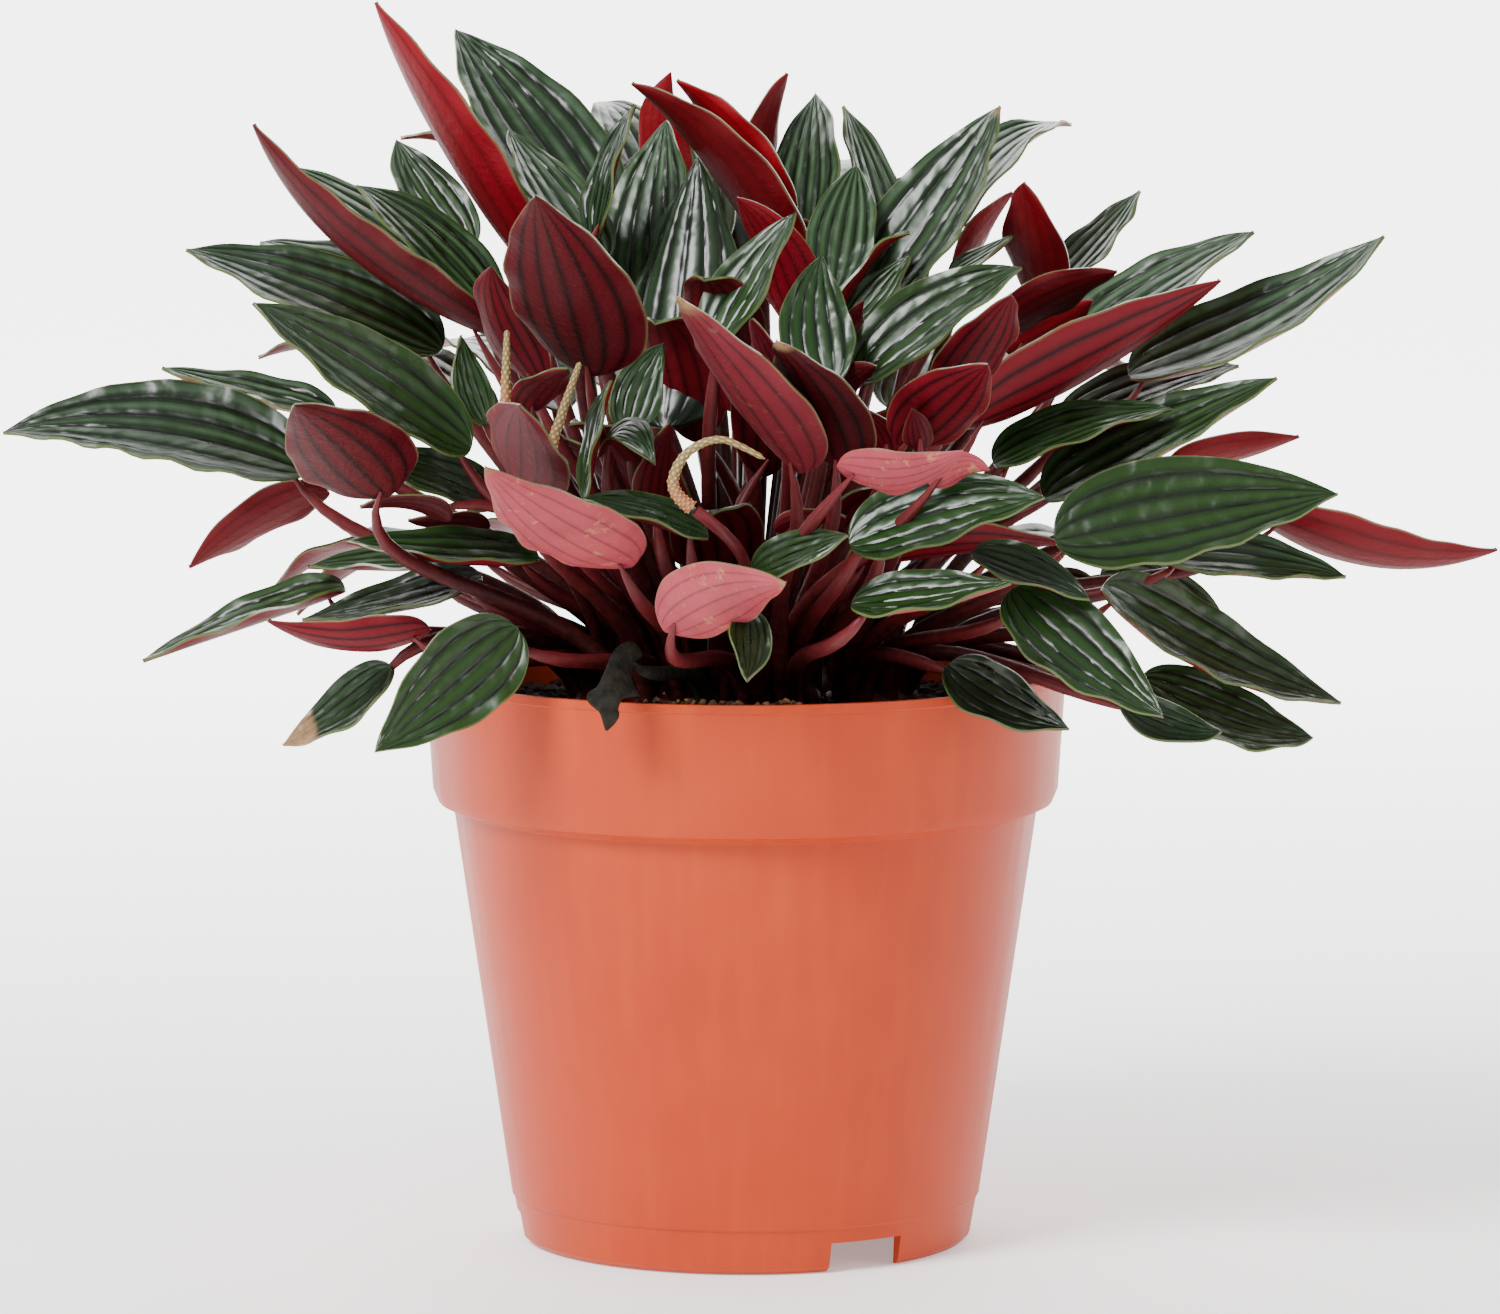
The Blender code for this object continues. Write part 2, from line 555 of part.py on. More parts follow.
def pot_profile():
    """Half-section from the axis up the inside, over the rim and down the outside to the axis."""
    step, plate = collar_step_z(), PLATE_Z + WALL
    points = [(0, plate), (inner_r(plate), plate), (inner_r(step + WALL - 0.0005), step + WALL - 0.0005),
              (inner_r(step + WALL), step + WALL), (RIM_R - WALL, POT_H), (RIM_R, POT_H),
              (RIM_R, POT_H - LIP_H), (RIM_R - LIP_STEP, POT_H - LIP_H - LIP_STEP)]
    for k in range(3):
        turn = math.radians(45 * k)
        points.append((COLLAR_FOOT_R - COLLAR_ROUND * (1 - math.cos(turn)),
                       step + COLLAR_ROUND * (1 - math.sin(turn))))
    points += [(BODY_TOP_R, step - 0.0004), (BAND_R, BAND_Z), (BAND_R - BAND_INSET, BAND_Z - 0.0004),
               (FOOT_R, FOOT_ROUND), (FOOT_R - FOOT_ROUND, 0), (FOOT_R - FOOT_ROUND - 0.0008, 0),
               (FOOT_R - FOOT_ROUND - 0.0004, PLATE_Z), (0, PLATE_Z)]
    return points


def soil_profile():
    """Half-section of the soil, a gap inside the pot all round."""
    step, low = collar_step_z() + WALL, PLATE_Z + WALL + GAP
    points = [(r, soil_z(r, 0)) for r in (0, 0.030)]
    points += [(inner_r(SOIL_EDGE_Z) - GAP, SOIL_EDGE_Z), (inner_r(step + 0.0006) - GAP, step + 0.0006),
               (inner_r(step - 0.001) - GAP, step + GAP), (inner_r(low) - GAP, low), (0, low)]
    return points


def test_walls():
    """The collar and the soil's surface, as the leaves must clear them."""
    step, inside, outside = collar_step_z(), RIM_R - WALL - MARGIN, RIM_R + MARGIN
    collar = [(inside, step), (outside, step), (outside, POT_H + MARGIN), (inside, POT_H + MARGIN)]
    body = [(FOOT_R - WALL, 0.0), (FOOT_R, 0.0), (BODY_TOP_R + MARGIN, step), (BODY_TOP_R - WALL, step)]
    return [("pot",) + shell(collar, POT_STEPS), ("pot",) + shell(body, POT_STEPS)]


# Blender objects

def linear(hex_colour):
    parts = [int(hex_colour[i:i + 2], 16) / 255 for i in (1, 3, 5)]
    return [c / 12.92 if c <= 0.04045 else ((c + 0.055) / 1.055) ** 2.4 for c in parts] + [1.0]


def material(name, hex_colour, roughness):
    made = bpy.data.materials.new(name)
    made.use_nodes = True
    shader = made.node_tree.nodes["Principled BSDF"]
    shader.inputs["Base Color"].default_value = linear(hex_colour)
    shader.inputs["Roughness"].default_value = roughness
    made.diffuse_color = linear(hex_colour)
    return made


def new_object(name, verts, faces, materials, picks, home):
    mesh = bpy.data.meshes.new(name)
    mesh.from_pydata([tuple(v) for v in verts], [], faces)
    for each in materials:
        mesh.materials.append(each)
    for polygon, pick in zip(mesh.polygons, picks or [0] * len(faces)):
        polygon.material_index = pick
    made = bpy.data.objects.new(name, mesh)
    home.objects.link(made)
    return made


def turned(name, profile, steps, made_of, home):
    """A profile turned round the pot's axis."""
    edges = [(i, i + 1) for i in range(len(profile) - 1)]
    mesh = bpy.data.meshes.new(name)
    mesh.from_pydata([(r, 0, z) for r, z in profile], edges, [])
    mesh.materials.append(made_of)
    made = bpy.data.objects.new(name, mesh)
    home.objects.link(made)
    screw = made.modifiers.new("Turned", "SCREW")
    screw.axis, screw.angle = "Z", 2 * math.pi
    screw.steps = screw.render_steps = steps
    screw.use_merge_vertices, screw.merge_threshold = True, 0.00005
    screw.use_smooth_shade = False
    return made


def boolean(target, collection, operation, solver):
    cut = target.modifiers.new(operation.title(), "BOOLEAN")
    cut.operation, cut.solver = operation, solver
    cut.operand_type, cut.collection = "COLLECTION", collection
    return cut


def keep_main_body(mesh):
    """Drops the loose scraps and fills the sealed hollows that a union of many pieces can leave."""
    work = bmesh.new()
    work.from_mesh(mesh)
    bodies, seen = [], set()
    for start in work.verts:
        if start in seen:
            continue
        body, edge_of = {start}, [start]
        while edge_of:
            for edge in edge_of.pop().link_edges:
                for vert in edge.verts:
                    if vert not in body:
                        body.add(vert)
                        edge_of.append(vert)
        seen |= body
        bodies.append(body)
    bodies.sort(key=len)
    if len(bodies) > 1 and len(bodies[-2]) > SCRAP_VERTS:
        raise ValueError("a leaf stands loose in " + mesh.name)
    for body in bodies[:-1]:
        bmesh.ops.delete(work, geom=list(body), context="VERTS")
    work.to_mesh(mesh)
    work.free()


def fused(name, solids, materials, home):
    """One closed body of many crossing ones: the first joined with the collection of the rest."""
    pieces = bpy.data.collections.new(name + "_pieces")
    bpy.context.scene.collection.children.link(pieces)
    first = new_object(name, *solids[0][:2], materials, solids[0][2], home)
    for k, (verts, faces, picks) in enumerate(solids[1:]):
        new_object("%s_%d" % (name, k), verts, faces, materials, picks, pieces)
    boolean(first, pieces, "UNION", "MANIFOLD")
    view = bpy.context.evaluated_depsgraph_get()
    joined = bpy.data.meshes.new_from_object(first.evaluated_get(view))
    first.modifiers.clear()
    first.data = joined
    keep_main_body(joined)
    for piece in list(pieces.objects):
        bpy.data.objects.remove(piece, do_unlink=True)
    bpy.data.collections.remove(pieces)
    return first


def cutters(name, home):
    """A collection for solids to take away."""
    group = bpy.data.collections.new(name)
    home.children.link(group)
    return group


def cutter(name, mesh, home):
    """A hidden solid to take away."""
    made = bpy.data.objects.new(name, mesh)
    home.objects.link(made)
    made.hide_render = True
    made.display_type = "WIRE"
    return made


def drain_cutter(name, turn, home):
    work, mesh = bmesh.new(), bpy.data.meshes.new(name)
    bmesh.ops.create_cone(work, cap_ends=True, segments=DRAIN_SIDES, radius1=DRAIN_R, radius2=DRAIN_R,
                          depth=6 * WALL)
    work.to_mesh(mesh)
    work.free()
    made = cutter(name, mesh, home)
    made.location = (math.cos(turn) * DRAIN_RING_R, math.sin(turn) * DRAIN_RING_R, PLATE_Z)
    return made


def notch_cutter(name, turn, home):
    work, mesh = bmesh.new(), bpy.data.meshes.new(name)
    bmesh.ops.create_cube(work, size=1.0)
    bmesh.ops.scale(work, vec=(10 * WALL, NOTCH_W, 2 * NOTCH_H), verts=work.verts)
    work.to_mesh(mesh)
    work.free()
    made = cutter(name, mesh, home)
    made.location = (math.cos(turn) * FOOT_R, math.sin(turn) * FOOT_R, 0)
    made.rotation_euler = (0, 0, turn)
    return made


def make_pot(home, hidden, plastic):
    pot = turned("pot", pot_profile(), POT_STEPS, plastic, home)
    group = cutters("pot_cutters", hidden)
    for k in range(DRAINS):
        drain_cutter("drain_%d" % k, 2 * math.pi * k / DRAINS, group)
    for k in range(NOTCHES):
        notch_cutter("notch_%d" % k, math.radians(NOTCH_AZ + 360 * k / NOTCHES), group)
    boolean(pot, group, "DIFFERENCE", "EXACT")
    return pot


def make_soil(home, hidden, peat, sockets):
    soil = turned("soil", soil_profile(), POT_STEPS, peat, home)
    group = cutters("soil_cutters", hidden)
    for k, (x, y, radius, deep, sides) in enumerate(sockets):
        low = Vector((x, y, soil_z(x, y) - deep - GAP))
        verts, faces = tube([low, low + Vector((0, 0, deep + SOCKET_TALL))], [radius + GAP] * 2, sides)
        mesh = bpy.data.meshes.new("socket")
        mesh.from_pydata([tuple(v) for v in verts], [], faces)
        cutter("socket_%d" % k, mesh, group)
    boolean(soil, group, "DIFFERENCE", "EXACT")
    return soil


def spike_path(spike):
    """The spike's points and radii, foot first."""
    _, marks, depth, foot_px, tip_px, _ = spike
    points = [on_ray(x, y, depth) for x, y in marks]
    fine = smooth_path(points, 2)
    radii = [seen_size(foot_px + (tip_px - foot_px) * i / (len(fine) - 1), fine[0]) / 2
             for i in range(len(fine))]
    return fine, radii


def smooth_path(points, parts):
    """A curve through points, each stretch in so many parts."""
    ends = [points[0] * 2 - points[1]] + list(points) + [points[-1] * 2 - points[-2]]
    made = []
    for i in range(1, len(ends) - 2):
        a, b, c, d = ends[i - 1:i + 3]
        for k in range(parts):
            t = k / parts
            made.append((b * 2 + (c - a) * t + (a * 2 - b * 5 + c * 4 - d) * t * t
                         + (b * 3 - a - c * 3 + d) * t ** 3) / 2)
    return made + [points[-1]]


def stalk_path(spike, parts):
    """From the hole in the soil to a gap below the spike's foot."""
    fine, _ = spike_path(spike)
    heading = (fine[1] - fine[0]).normalized()
    x, y = (v * MM for v in spike[5])
    root = Vector((x, y, soil_z(x, y) - STALK_DEEP))
    top = fine[0] - heading * SPIKE_GAP
    straight = root + Vector((0, 0, STALK_DEEP + 0.002))
    reach = (top - straight).length
    return [root] + [bezier(straight, straight + Vector((0, 0, reach * 0.35)), top - heading * reach * 0.3,
                            top, i / parts) for i in range(parts + 1)]


def spike_solids():
    made = []
    for spike in SPIKES:
        points, radii = spike_path(spike)
        stem = stalk_path(spike, STALK_PARTS)
        made.append((spike[0], tube(points, radii, SPIKE_SIDES), tube(stem, [STALK_R] * len(stem), 5)))
    return made


def withered_solids():
    base, mid, tip = (on_ray(*mark) for mark in WITHERED[:3])
    x, y = (v * MM for v in WITHERED[3])
    leaf = Leaf("withered", base, mid, tip, WITHERED_W, WITHERED_CUP, Vector((0.3, 0.9, 0.3)))
    low = Vector((x, y, soil_z(x, y) - STALK_DEEP))
    top = Vector((x, y, soil_z(x, y) + STALK_RISE))
    peg = tube([low, top + Vector((0, 0, STALK_RISE / 2))], [PEG_R] * 2, 6)
    return blade(leaf, BLADE_T), petiole(leaf, top, (0, -2, 0.5)), peg


def main():
    for old in list(bpy.data.objects):
        bpy.data.objects.remove(old, do_unlink=True)
    home = bpy.data.collections.new("ripple_peperomia")
    hidden = bpy.data.collections.new("cutters")
    for each in (home, hidden):
        bpy.context.scene.collection.children.link(each)
    plastic = material("terracotta_plastic", "#E07A5F", 0.4)
    peat = material("peat", "#1A1215", 0.9)
    leafy = [material("leaf_top", "#2F5234", 0.35), material("leaf_underside", "#8E2438", 0.45),
             material("petiole", "#7A2F33", 0.45)]
    cream = material("spike", "#C9A877", 0.6)
    brown = material("withered", "#3A2A24", 0.7)

    spikes, (dry_blade, *dry_stem) = spike_solids(), withered_solids()
    fixed = test_walls()
    for name, head, stem in spikes:
        fixed += [(name,) + head, (name,) + stem]
    fixed += [("withered",) + solid[:2] for solid in [dry_blade] + dry_stem]
    groups, members = place_leaves(fixed)

    spots = crowns()
    for count, group in enumerate(sorted(groups)):
        solids = []
        for k in members[group]:
            verts, faces = crown_tube(spots[k])
            solids.append((verts, faces, [2] * len(faces)))
        for leaf, root, bow in groups[group]:
            verts, faces = petiole(leaf, root, bow)
            solids.append((verts, faces, [2] * len(faces)))
            solids.append(blade(leaf, BLADE_T))
        fused("shoot_%02d" % (count + 1), solids, leafy, home)
    for name, head, stem in spikes:
        new_object(name, *head, [cream], None, home)
        new_object(name.replace("spike", "stalk"), *stem, [leafy[2]], None, home)
    dry = [(verts, faces, [0] * len(faces)) for verts, faces in [dry_blade[:2]] + dry_stem]
    fused("withered_leaf", dry, [brown], home)

    sockets = [(s.x, s.y, CROWN_R, CROWN_DEEP, CROWN_SIDES) for s in spots]
    sockets += [(s[5][0] * MM, s[5][1] * MM, STALK_R, STALK_DEEP, 5) for s in SPIKES]
    x, y = WITHERED[3]
    sockets.append((x * MM, y * MM, PEG_R, STALK_DEEP, 6))
    make_pot(home, hidden, plastic)
    make_soil(home, hidden, peat, sockets)


main()
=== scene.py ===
"""The looks of the ripple peperomia: fine leaves, stalks, spikes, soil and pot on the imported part."""
import json
import math
import random

import bmesh
import bpy
import numpy as np
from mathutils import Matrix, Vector
from mathutils.bvhtree import BVHTree

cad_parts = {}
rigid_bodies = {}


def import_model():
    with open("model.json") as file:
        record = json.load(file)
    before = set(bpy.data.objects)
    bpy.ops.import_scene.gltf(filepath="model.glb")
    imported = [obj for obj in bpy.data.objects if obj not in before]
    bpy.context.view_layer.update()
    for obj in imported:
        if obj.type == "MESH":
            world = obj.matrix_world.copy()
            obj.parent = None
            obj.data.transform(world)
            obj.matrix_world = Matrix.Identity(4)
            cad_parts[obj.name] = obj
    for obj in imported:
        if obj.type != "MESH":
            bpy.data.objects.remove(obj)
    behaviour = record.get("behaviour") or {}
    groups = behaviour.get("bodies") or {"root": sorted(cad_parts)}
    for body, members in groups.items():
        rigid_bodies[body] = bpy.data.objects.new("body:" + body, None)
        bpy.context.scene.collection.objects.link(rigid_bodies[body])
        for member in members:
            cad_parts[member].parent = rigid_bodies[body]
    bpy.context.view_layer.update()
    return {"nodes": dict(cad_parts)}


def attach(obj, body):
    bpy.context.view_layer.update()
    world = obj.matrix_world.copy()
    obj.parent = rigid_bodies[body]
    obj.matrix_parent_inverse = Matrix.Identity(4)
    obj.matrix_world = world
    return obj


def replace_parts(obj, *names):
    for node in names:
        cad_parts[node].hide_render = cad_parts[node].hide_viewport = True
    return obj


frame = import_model()

MM = 0.001

# Pot, a 12 cm nursery pot
RIM_R = 0.060                # the rim's outside radius, the size everything else is scaled from
POT_H = 0.107
LIP_H = 0.0015               # thin ring on top of the collar
LIP_STEP = 0.0003
COLLAR_H = 0.0255
COLLAR_FOOT_R = 0.0584
COLLAR_ROUND = 0.0035
BODY_TOP_R = 0.0545
BAND_Z = 0.0085              # the line above the foot
BAND_R = 0.0439
BAND_INSET = 0.0004
FOOT_R = 0.0422
FOOT_ROUND = 0.0010
WALL = 0.0013
MERGE = 0.00005              # points of the turned pot closer than this become one
PLATE_Z = 0.0060             # underside of the raised base plate
POT_STEPS = 24               # round the pot where leaves are tested against it
LEDGE = 0.0005               # height of the step inside the collar
CREASE = 0.0004              # and of the ones outside, at the collar's foot and the band
FOOT_RING = 0.0008           # width of the ring that it stands on
NOTCHES = 3
NOTCH_AZ = -58.4             # degrees from +X, to the right of the front
NOTCH_W = 0.0150
NOTCH_H = 0.0055
DRAINS = 4
DRAIN_R = 0.0040
DRAIN_SIDES = 6
DRAIN_RING_R = 0.0250
CUT_DEPTH, NOTCH_DEPTH = 6, 10   # how far a drain's and a notch's cutter reach, in walls

# Soil
SOIL_EDGE_Z = 0.0985
SOIL_DOME = 0.0025
SOIL_CLEAR = 0.0022          # from the wall to the nearest loose crumb's middle

# Crowns, the short stems that the petioles rise from
CROWN_R = 0.0062
CROWN_DEEP = 0.0090
CROWN_RISE = 0.0045
CROWN_SIDES = 7
OUTER_CROWNS, OUTER_RING_R, OUTER_AZ = 8, 0.0270, 10.0
INNER_CROWNS, INNER_RING_R, INNER_AZ = 3, 0.0095, 90.0
ROOT_SHARE = 0.45            # how far out a petiole is rooted, as a share of its leaf's place
ROOT_SPREAD = 0.0045
ROOT_SUNK = 0.0022           # below the crown's top

# Leaves
BLADE_T = 0.0008
WIDEST = 0.34                # where along the blade it is widest
ROUNDNESS, TAPER = 0.49, 0.95    # how round its base and how straight its sides to the tip
BLUNT_ENDS = (0.012, 0.03)   # how near its base and its tip the outline of a coarse blade is cut off
SHARP_ENDS = (0.0008, 0.002)     # and of a fine one
ASPECT = 0.46                # a blade's width over its length
BIG_LEAF = 0.053             # blades longer than this get the finer grid
BIG_ROWS = (0.0, 0.15, 0.42, 0.75, 1.0)
BIG_COLS = (-1.0, -0.55, 0.0, 0.55, 1.0)
SMALL_ROWS = (0.0, 0.25, 0.65, 1.0)
SMALL_COLS = (-1.0, 0.0, 1.0)
PETIOLE_ROOT_R = 0.0018
PETIOLE_TIP_R = 0.0012
PETIOLE_SIDES = 3
PETIOLE_SUNK = 0.0035        # how far a petiole runs on under its blade
PETIOLE_PARTS = 3
PETIOLE_RISE = 0.38          # how far it keeps upright, and how far it has turned to the blade
PETIOLE_ARRIVE = 0.36
PETIOLE_LEAN = 0.6           # how much of the blade's own direction it has by then
PETIOLE_UNDER = 0.3          # and how far below the blade's middle it ends, in radii
MARGIN = 0.0004              # clearance kept between one shoot's leaves and another's

# The photograph's camera, read off the ellipses of the pot's rim and foot, and its size in pixels
IMAGE_W, IMAGE_H = 1500, 1314
FOCAL_PX = 7820.0
CAMERA = Vector((0.00084, -1.45, 0.273))
TARGET = Vector((0.00084, 0.0, 0.109))

# One row a leaf, read off the photograph: its name; the blade's base, middle and tip in pixels;
# its widest seen width in pixels; T where the top is turned to the camera and U the underside; how far
# behind (+) or before (-) the pot's axis base and tip lie, in mm; and how far its edges are raised (+)
# or turned down (-), in degrees.
LEAVES = (
    ("A1", 305, 473, 150, 432, 3, 433, 85, "T", 0, 5, 34),
    ("A2", 335, 415, 245, 396, 162, 368, 28, "T", 15, 22, 40),
    ("A3", 387, 496, 342, 450, 294, 404, 105, "U", -45, -85, 25),
    ("A4", 470, 450, 352, 372, 253, 303, 75, "T", -35, -45, 34),
    ("A5", 440, 352, 310, 292, 186, 250, 75, "T", 0, 10, 26),
    ("A6", 420, 300, 330, 262, 260, 243, 30, "T", 35, 45, 30),
    ("A7", 492, 335, 345, 248, 254, 124, 38, "U", -10, -20, 42),
    ("A8", 490, 310, 385, 232, 284, 165, 50, "T", 5, 15, 24),
    ("A9", 500, 322, 425, 238, 356, 186, 55, "T", -2, 5, 24),
    ("A10", 540, 385, 500, 320, 492, 266, 50, "U", -30, -45, 30),
    ("B1", 590, 375, 565, 285, 536, 195, 125, "U", -40, -85, 22),
    ("B2", 528, 268, 437, 128, 376, 2, 42, "U", -5, -15, 40),
    ("B3", 605, 235, 525, 120, 455, 30, 103, "T", 20, 45, 22),
    ("B4", 470, 250, 425, 190, 396, 140, 60, "T", 28, 42, 24),
    ("B5", 602, 262, 550, 190, 508, 130, 55, "T", 8, 25, 24),
    ("B6", 592, 215, 590, 170, 597, 127, 30, "T", 18, 28, 24),
    ("B7", 597, 240, 610, 170, 635, 105, 25, "T", 5, 12, 30),
    ("B8", 645, 330, 652, 215, 667, 120, 88, "T", 5, 25, 24),
    ("B8b", 625, 300, 618, 215, 643, 147, 40, "T", 12, 30, 24),
    ("B9", 665, 428, 682, 285, 698, 158, 113, "T", -12, 10, -42),
    ("B10", 792, 292, 715, 165, 632, 83, 45, "U", 12, 0, 44),
    ("B11", 786, 232, 728, 140, 677, 80, 35, "U", 20, 12, 42),
    ("B12", 685, 185, 660, 130, 671, 72, 50, "U", 30, 28, 30),
    ("B13", 762, 212, 745, 155, 726, 108, 35, "U", 30, 35, 30),
    ("B14", 757, 200, 768, 130, 787, 73, 30, "U", 40, 42, 30),
    ("C1", 800, 255, 808, 165, 816, 94, 72, "T", 18, 42, 26),
    ("C2", 885, 250, 868, 175, 843, 106, 45, "T", 40, 52, 26),
    ("C3", 835, 290, 845, 220, 857, 165, 68, "T", 2, 20, 26),
    ("C4", 865, 312, 940, 205, 1000, 106, 85, "T", 0, 10, 36),
    ("C4b", 860, 262, 890, 205, 918, 174, 30, "T", 36, 45, 26),
    ("C5", 845, 332, 882, 290, 911, 255, 35, "T", -12, -8, 26),
    ("C6", 856, 382, 940, 312, 1022, 268, 65, "T", -28, -25, 36),
    ("C7", 828, 388, 815, 320, 822, 255, 76, "T", -38, -22, 26),
    ("C8", 712, 347, 750, 278, 796, 213, 52, "T", -25, -18, 30),
    ("C9", 800, 332, 778, 255, 737, 197, 60, "U", -5, -12, 30),
    ("C10", 845, 372, 850, 335, 863, 300, 30, "U", -15, -18, 30),
    ("C11", 838, 392, 855, 375, 877, 366, 28, "U", -40, -48, 30),
    ("D1", 800, 472, 738, 388, 677, 296, 58, "U", -55, -85, 42),
    ("D2", 840, 470, 812, 400, 776, 341, 70, "U", -50, -80, 38),
    ("D3", 790, 420, 768, 365, 752, 318, 35, "U", -42, -55, 32),
    ("D4", 888, 455, 880, 430, 862, 408, 28, "U", -48, -58, 32),
    ("D5", 838, 465, 900, 476, 963, 450, 45, "U", -65, -75, 34),
    ("D6", 930, 485, 962, 466, 990, 470, 28, "U", -58, -62, 34),
    ("D7", 922, 450, 918, 430, 912, 408, 30, "U", -58, -65, 32),
    ("D9", 900, 445, 948, 402, 988, 364, 75, "U", -45, -70, 28),
    ("D10", 945, 400, 985, 345, 1011, 294, 58, "U", -35, -55, 28),
    ("D11", 965, 425, 1100, 362, 1220, 280, 55, "U", -22, -5, 44),
    ("D12", 1060, 357, 1160, 288, 1254, 232, 50, "T", 5, 12, 26),
    ("D13", 1040, 305, 1030, 240, 1024, 182, 60, "U", 5, -15, 28),
    ("D14", 955, 275, 985, 228, 1012, 192, 20, "U", 15, 20, 30),
    ("D15", 1050, 292, 1100, 240, 1140, 191, 38, "T", 25, 35, 26),
    ("D16", 1000, 330, 1060, 295, 1117, 271, 42, "U", -8, -12, 32),
    ("D17", 1005, 350, 1055, 325, 1092, 300, 40, "U", -4, -6, 32),
    ("D19", 950, 275, 985, 255, 1012, 236, 18, "T", -5, 0, 26),
    ("E1", 1130, 378, 1268, 325, 1384, 236, 62, "T", 5, 15, 36),
    ("E2", 1060, 428, 1155, 388, 1239, 366, 48, "T", -2, 5, 30),
    ("E3", 1045, 500, 1160, 440, 1277, 378, 60, "T", -18, -10, 38),
    ("E4", 995, 466, 1080, 428, 1172, 409, 40, "T", -8, -2, 30),
    ("E5", 1165, 470, 1235, 455, 1299, 436, 28, "U", 5, 10, 44),
    ("E6", 1055, 541, 1200, 512, 1338, 494, 105, "T", -38, -35, 30),
    ("E7", 1262, 515, 1380, 562, 1497, 549, 38, "U", 2, 10, 46),
    ("E8", 1160, 560, 1260, 566, 1346, 577, 45, "T", -8, -2, 38),
    ("E9", 1102, 588, 1212, 658, 1341, 703, 62, "T", -20, -10, 38),
    ("E10", 1100, 577, 1175, 602, 1245, 655, 50, "T", -5, 0, 28),
    ("E11", 1012, 590, 1085, 658, 1163, 717, 82, "T", -48, -65, 24),
    ("E12", 1120, 700, 1175, 728, 1222, 731, 40, "T", -38, -38, 40),
    ("E13", 1140, 680, 1235, 722, 1313, 738, 62, "T", -15, -8, 28),
    ("F1", 948, 665, 1005, 703, 1069, 729, 58, "T", -44, -54, 40),
    ("F2", 852, 605, 930, 598, 1011, 583, 42, "T", -52, -60, 38),
    ("F3", 972, 553, 1035, 575, 1090, 600, 38, "T", -42, -48, 38),
    ("F4", 850, 545, 950, 510, 1045, 498, 72, "T", -45, -50, 26),
    ("F5", 865, 540, 915, 512, 956, 488, 38, "T", -55, -62, 30),
    ("F6", 845, 567, 950, 550, 1062, 543, 30, "U", -38, -35, 40),
    ("G1", 632, 565, 557, 532, 485, 467, 78, "U", -65, -95, 30),
    ("G2", 665, 630, 722, 597, 786, 583, 75, "U", -70, -95, 30),
    ("G3", 748, 612, 751, 650, 747, 681, 42, "T", -62, -74, 30),
    ("G4", 752, 573, 800, 552, 848, 535, 40, "T", -50, -58, 30),
    ("G5", 775, 530, 812, 520, 846, 517, 20, "U", -45, -50, 34),
    ("G6", 708, 538, 642, 515, 581, 499, 30, "T", -48, -55, 44),
    ("G7", 655, 515, 660, 468, 669, 423, 40, "U", -42, -55, 30),
    ("G8", 600, 455, 628, 432, 655, 465, 30, "T", -35, -50, 20),
    ("G9", 586, 500, 598, 432, 611, 380, 14, "T", -38, -42, 30),
    ("G10", 628, 432, 640, 385, 664, 343, 52, "T", -25, -18, 28),
    ("G13", 485, 425, 468, 380, 461, 335, 36, "T", -32, -28, 28),
    ("G14", 528, 412, 545, 388, 568, 368, 40, "U", -42, -60, 30),
    ("G15", 522, 488, 522, 445, 520, 405, 82, "U", -48, -85, 24),
    ("G16", 500, 502, 432, 476, 368, 456, 48, "T", -40, -48, 30),
    ("G18", 540, 560, 440, 556, 347, 541, 32, "T", -35, -40, 44),
    ("G19", 490, 525, 450, 525, 408, 520, 20, "U", -25, -27, 30),
    ("G20", 470, 563, 390, 565, 308, 567, 28, "T", -20, -20, 42),
    ("G21", 482, 578, 400, 603, 302, 620, 36, "T", -30, -30, 34),
    ("G22", 430, 628, 350, 645, 268, 620, 30, "U", -32, -32, 46),
    ("G23", 345, 590, 250, 622, 143, 661, 28, "T", -10, -5, 40),
    ("G24", 393, 668, 342, 712, 283, 745, 45, "T", -22, -16, 38),
    ("G25", 517, 628, 447, 690, 375, 752, 95, "T", -48, -62, 22),
    ("G26", 328, 490, 255, 527, 189, 567, 43, "U", -5, 0, 34),
    ("G27", 450, 520, 410, 505, 360, 507, 16, "U", -30, -34, 30),
)

# Leaves that the photograph hides, on the far side and in the dark middle: tiers of the same dome.
# Each tier: how many leaves, first and last azimuth, the blade base's radius and height, the tip's,
# in mm, and the width.
TIERS = (
    (8, 12.0, 168.0, 58, 124, 98, 113, 23),
    (7, 28.0, 156.0, 50, 152, 96, 160, 22),
    (6, 35.0, 145.0, 38, 176, 74, 200, 20),
    (6, 200.0, 340.0, 18, 128, 44, 150, 18),
    (4, 215.0, 325.0, 12, 150, 30, 178, 17),
)
TIER_NUDGES = (0, 6, -6, 12, -12)   # degrees a hidden leaf may turn to come clear
TIER_LIFTS = (0, 6, -6)             # and mm it may rise
TIER_STRAY = (5, 6, 9)       # mm that its tip may lie farther out, higher or to the side
TIER_ARCH = 0.007            # how high its middle stands over the line from base to tip
TIER_CUP = 26                # degrees
TIER_LEAN = 0.1              # how far its top leans outward
TURNS_TRIED = range(0, 91, 3)    # degrees a photographed leaf may be turned from the camera
SEED = 7

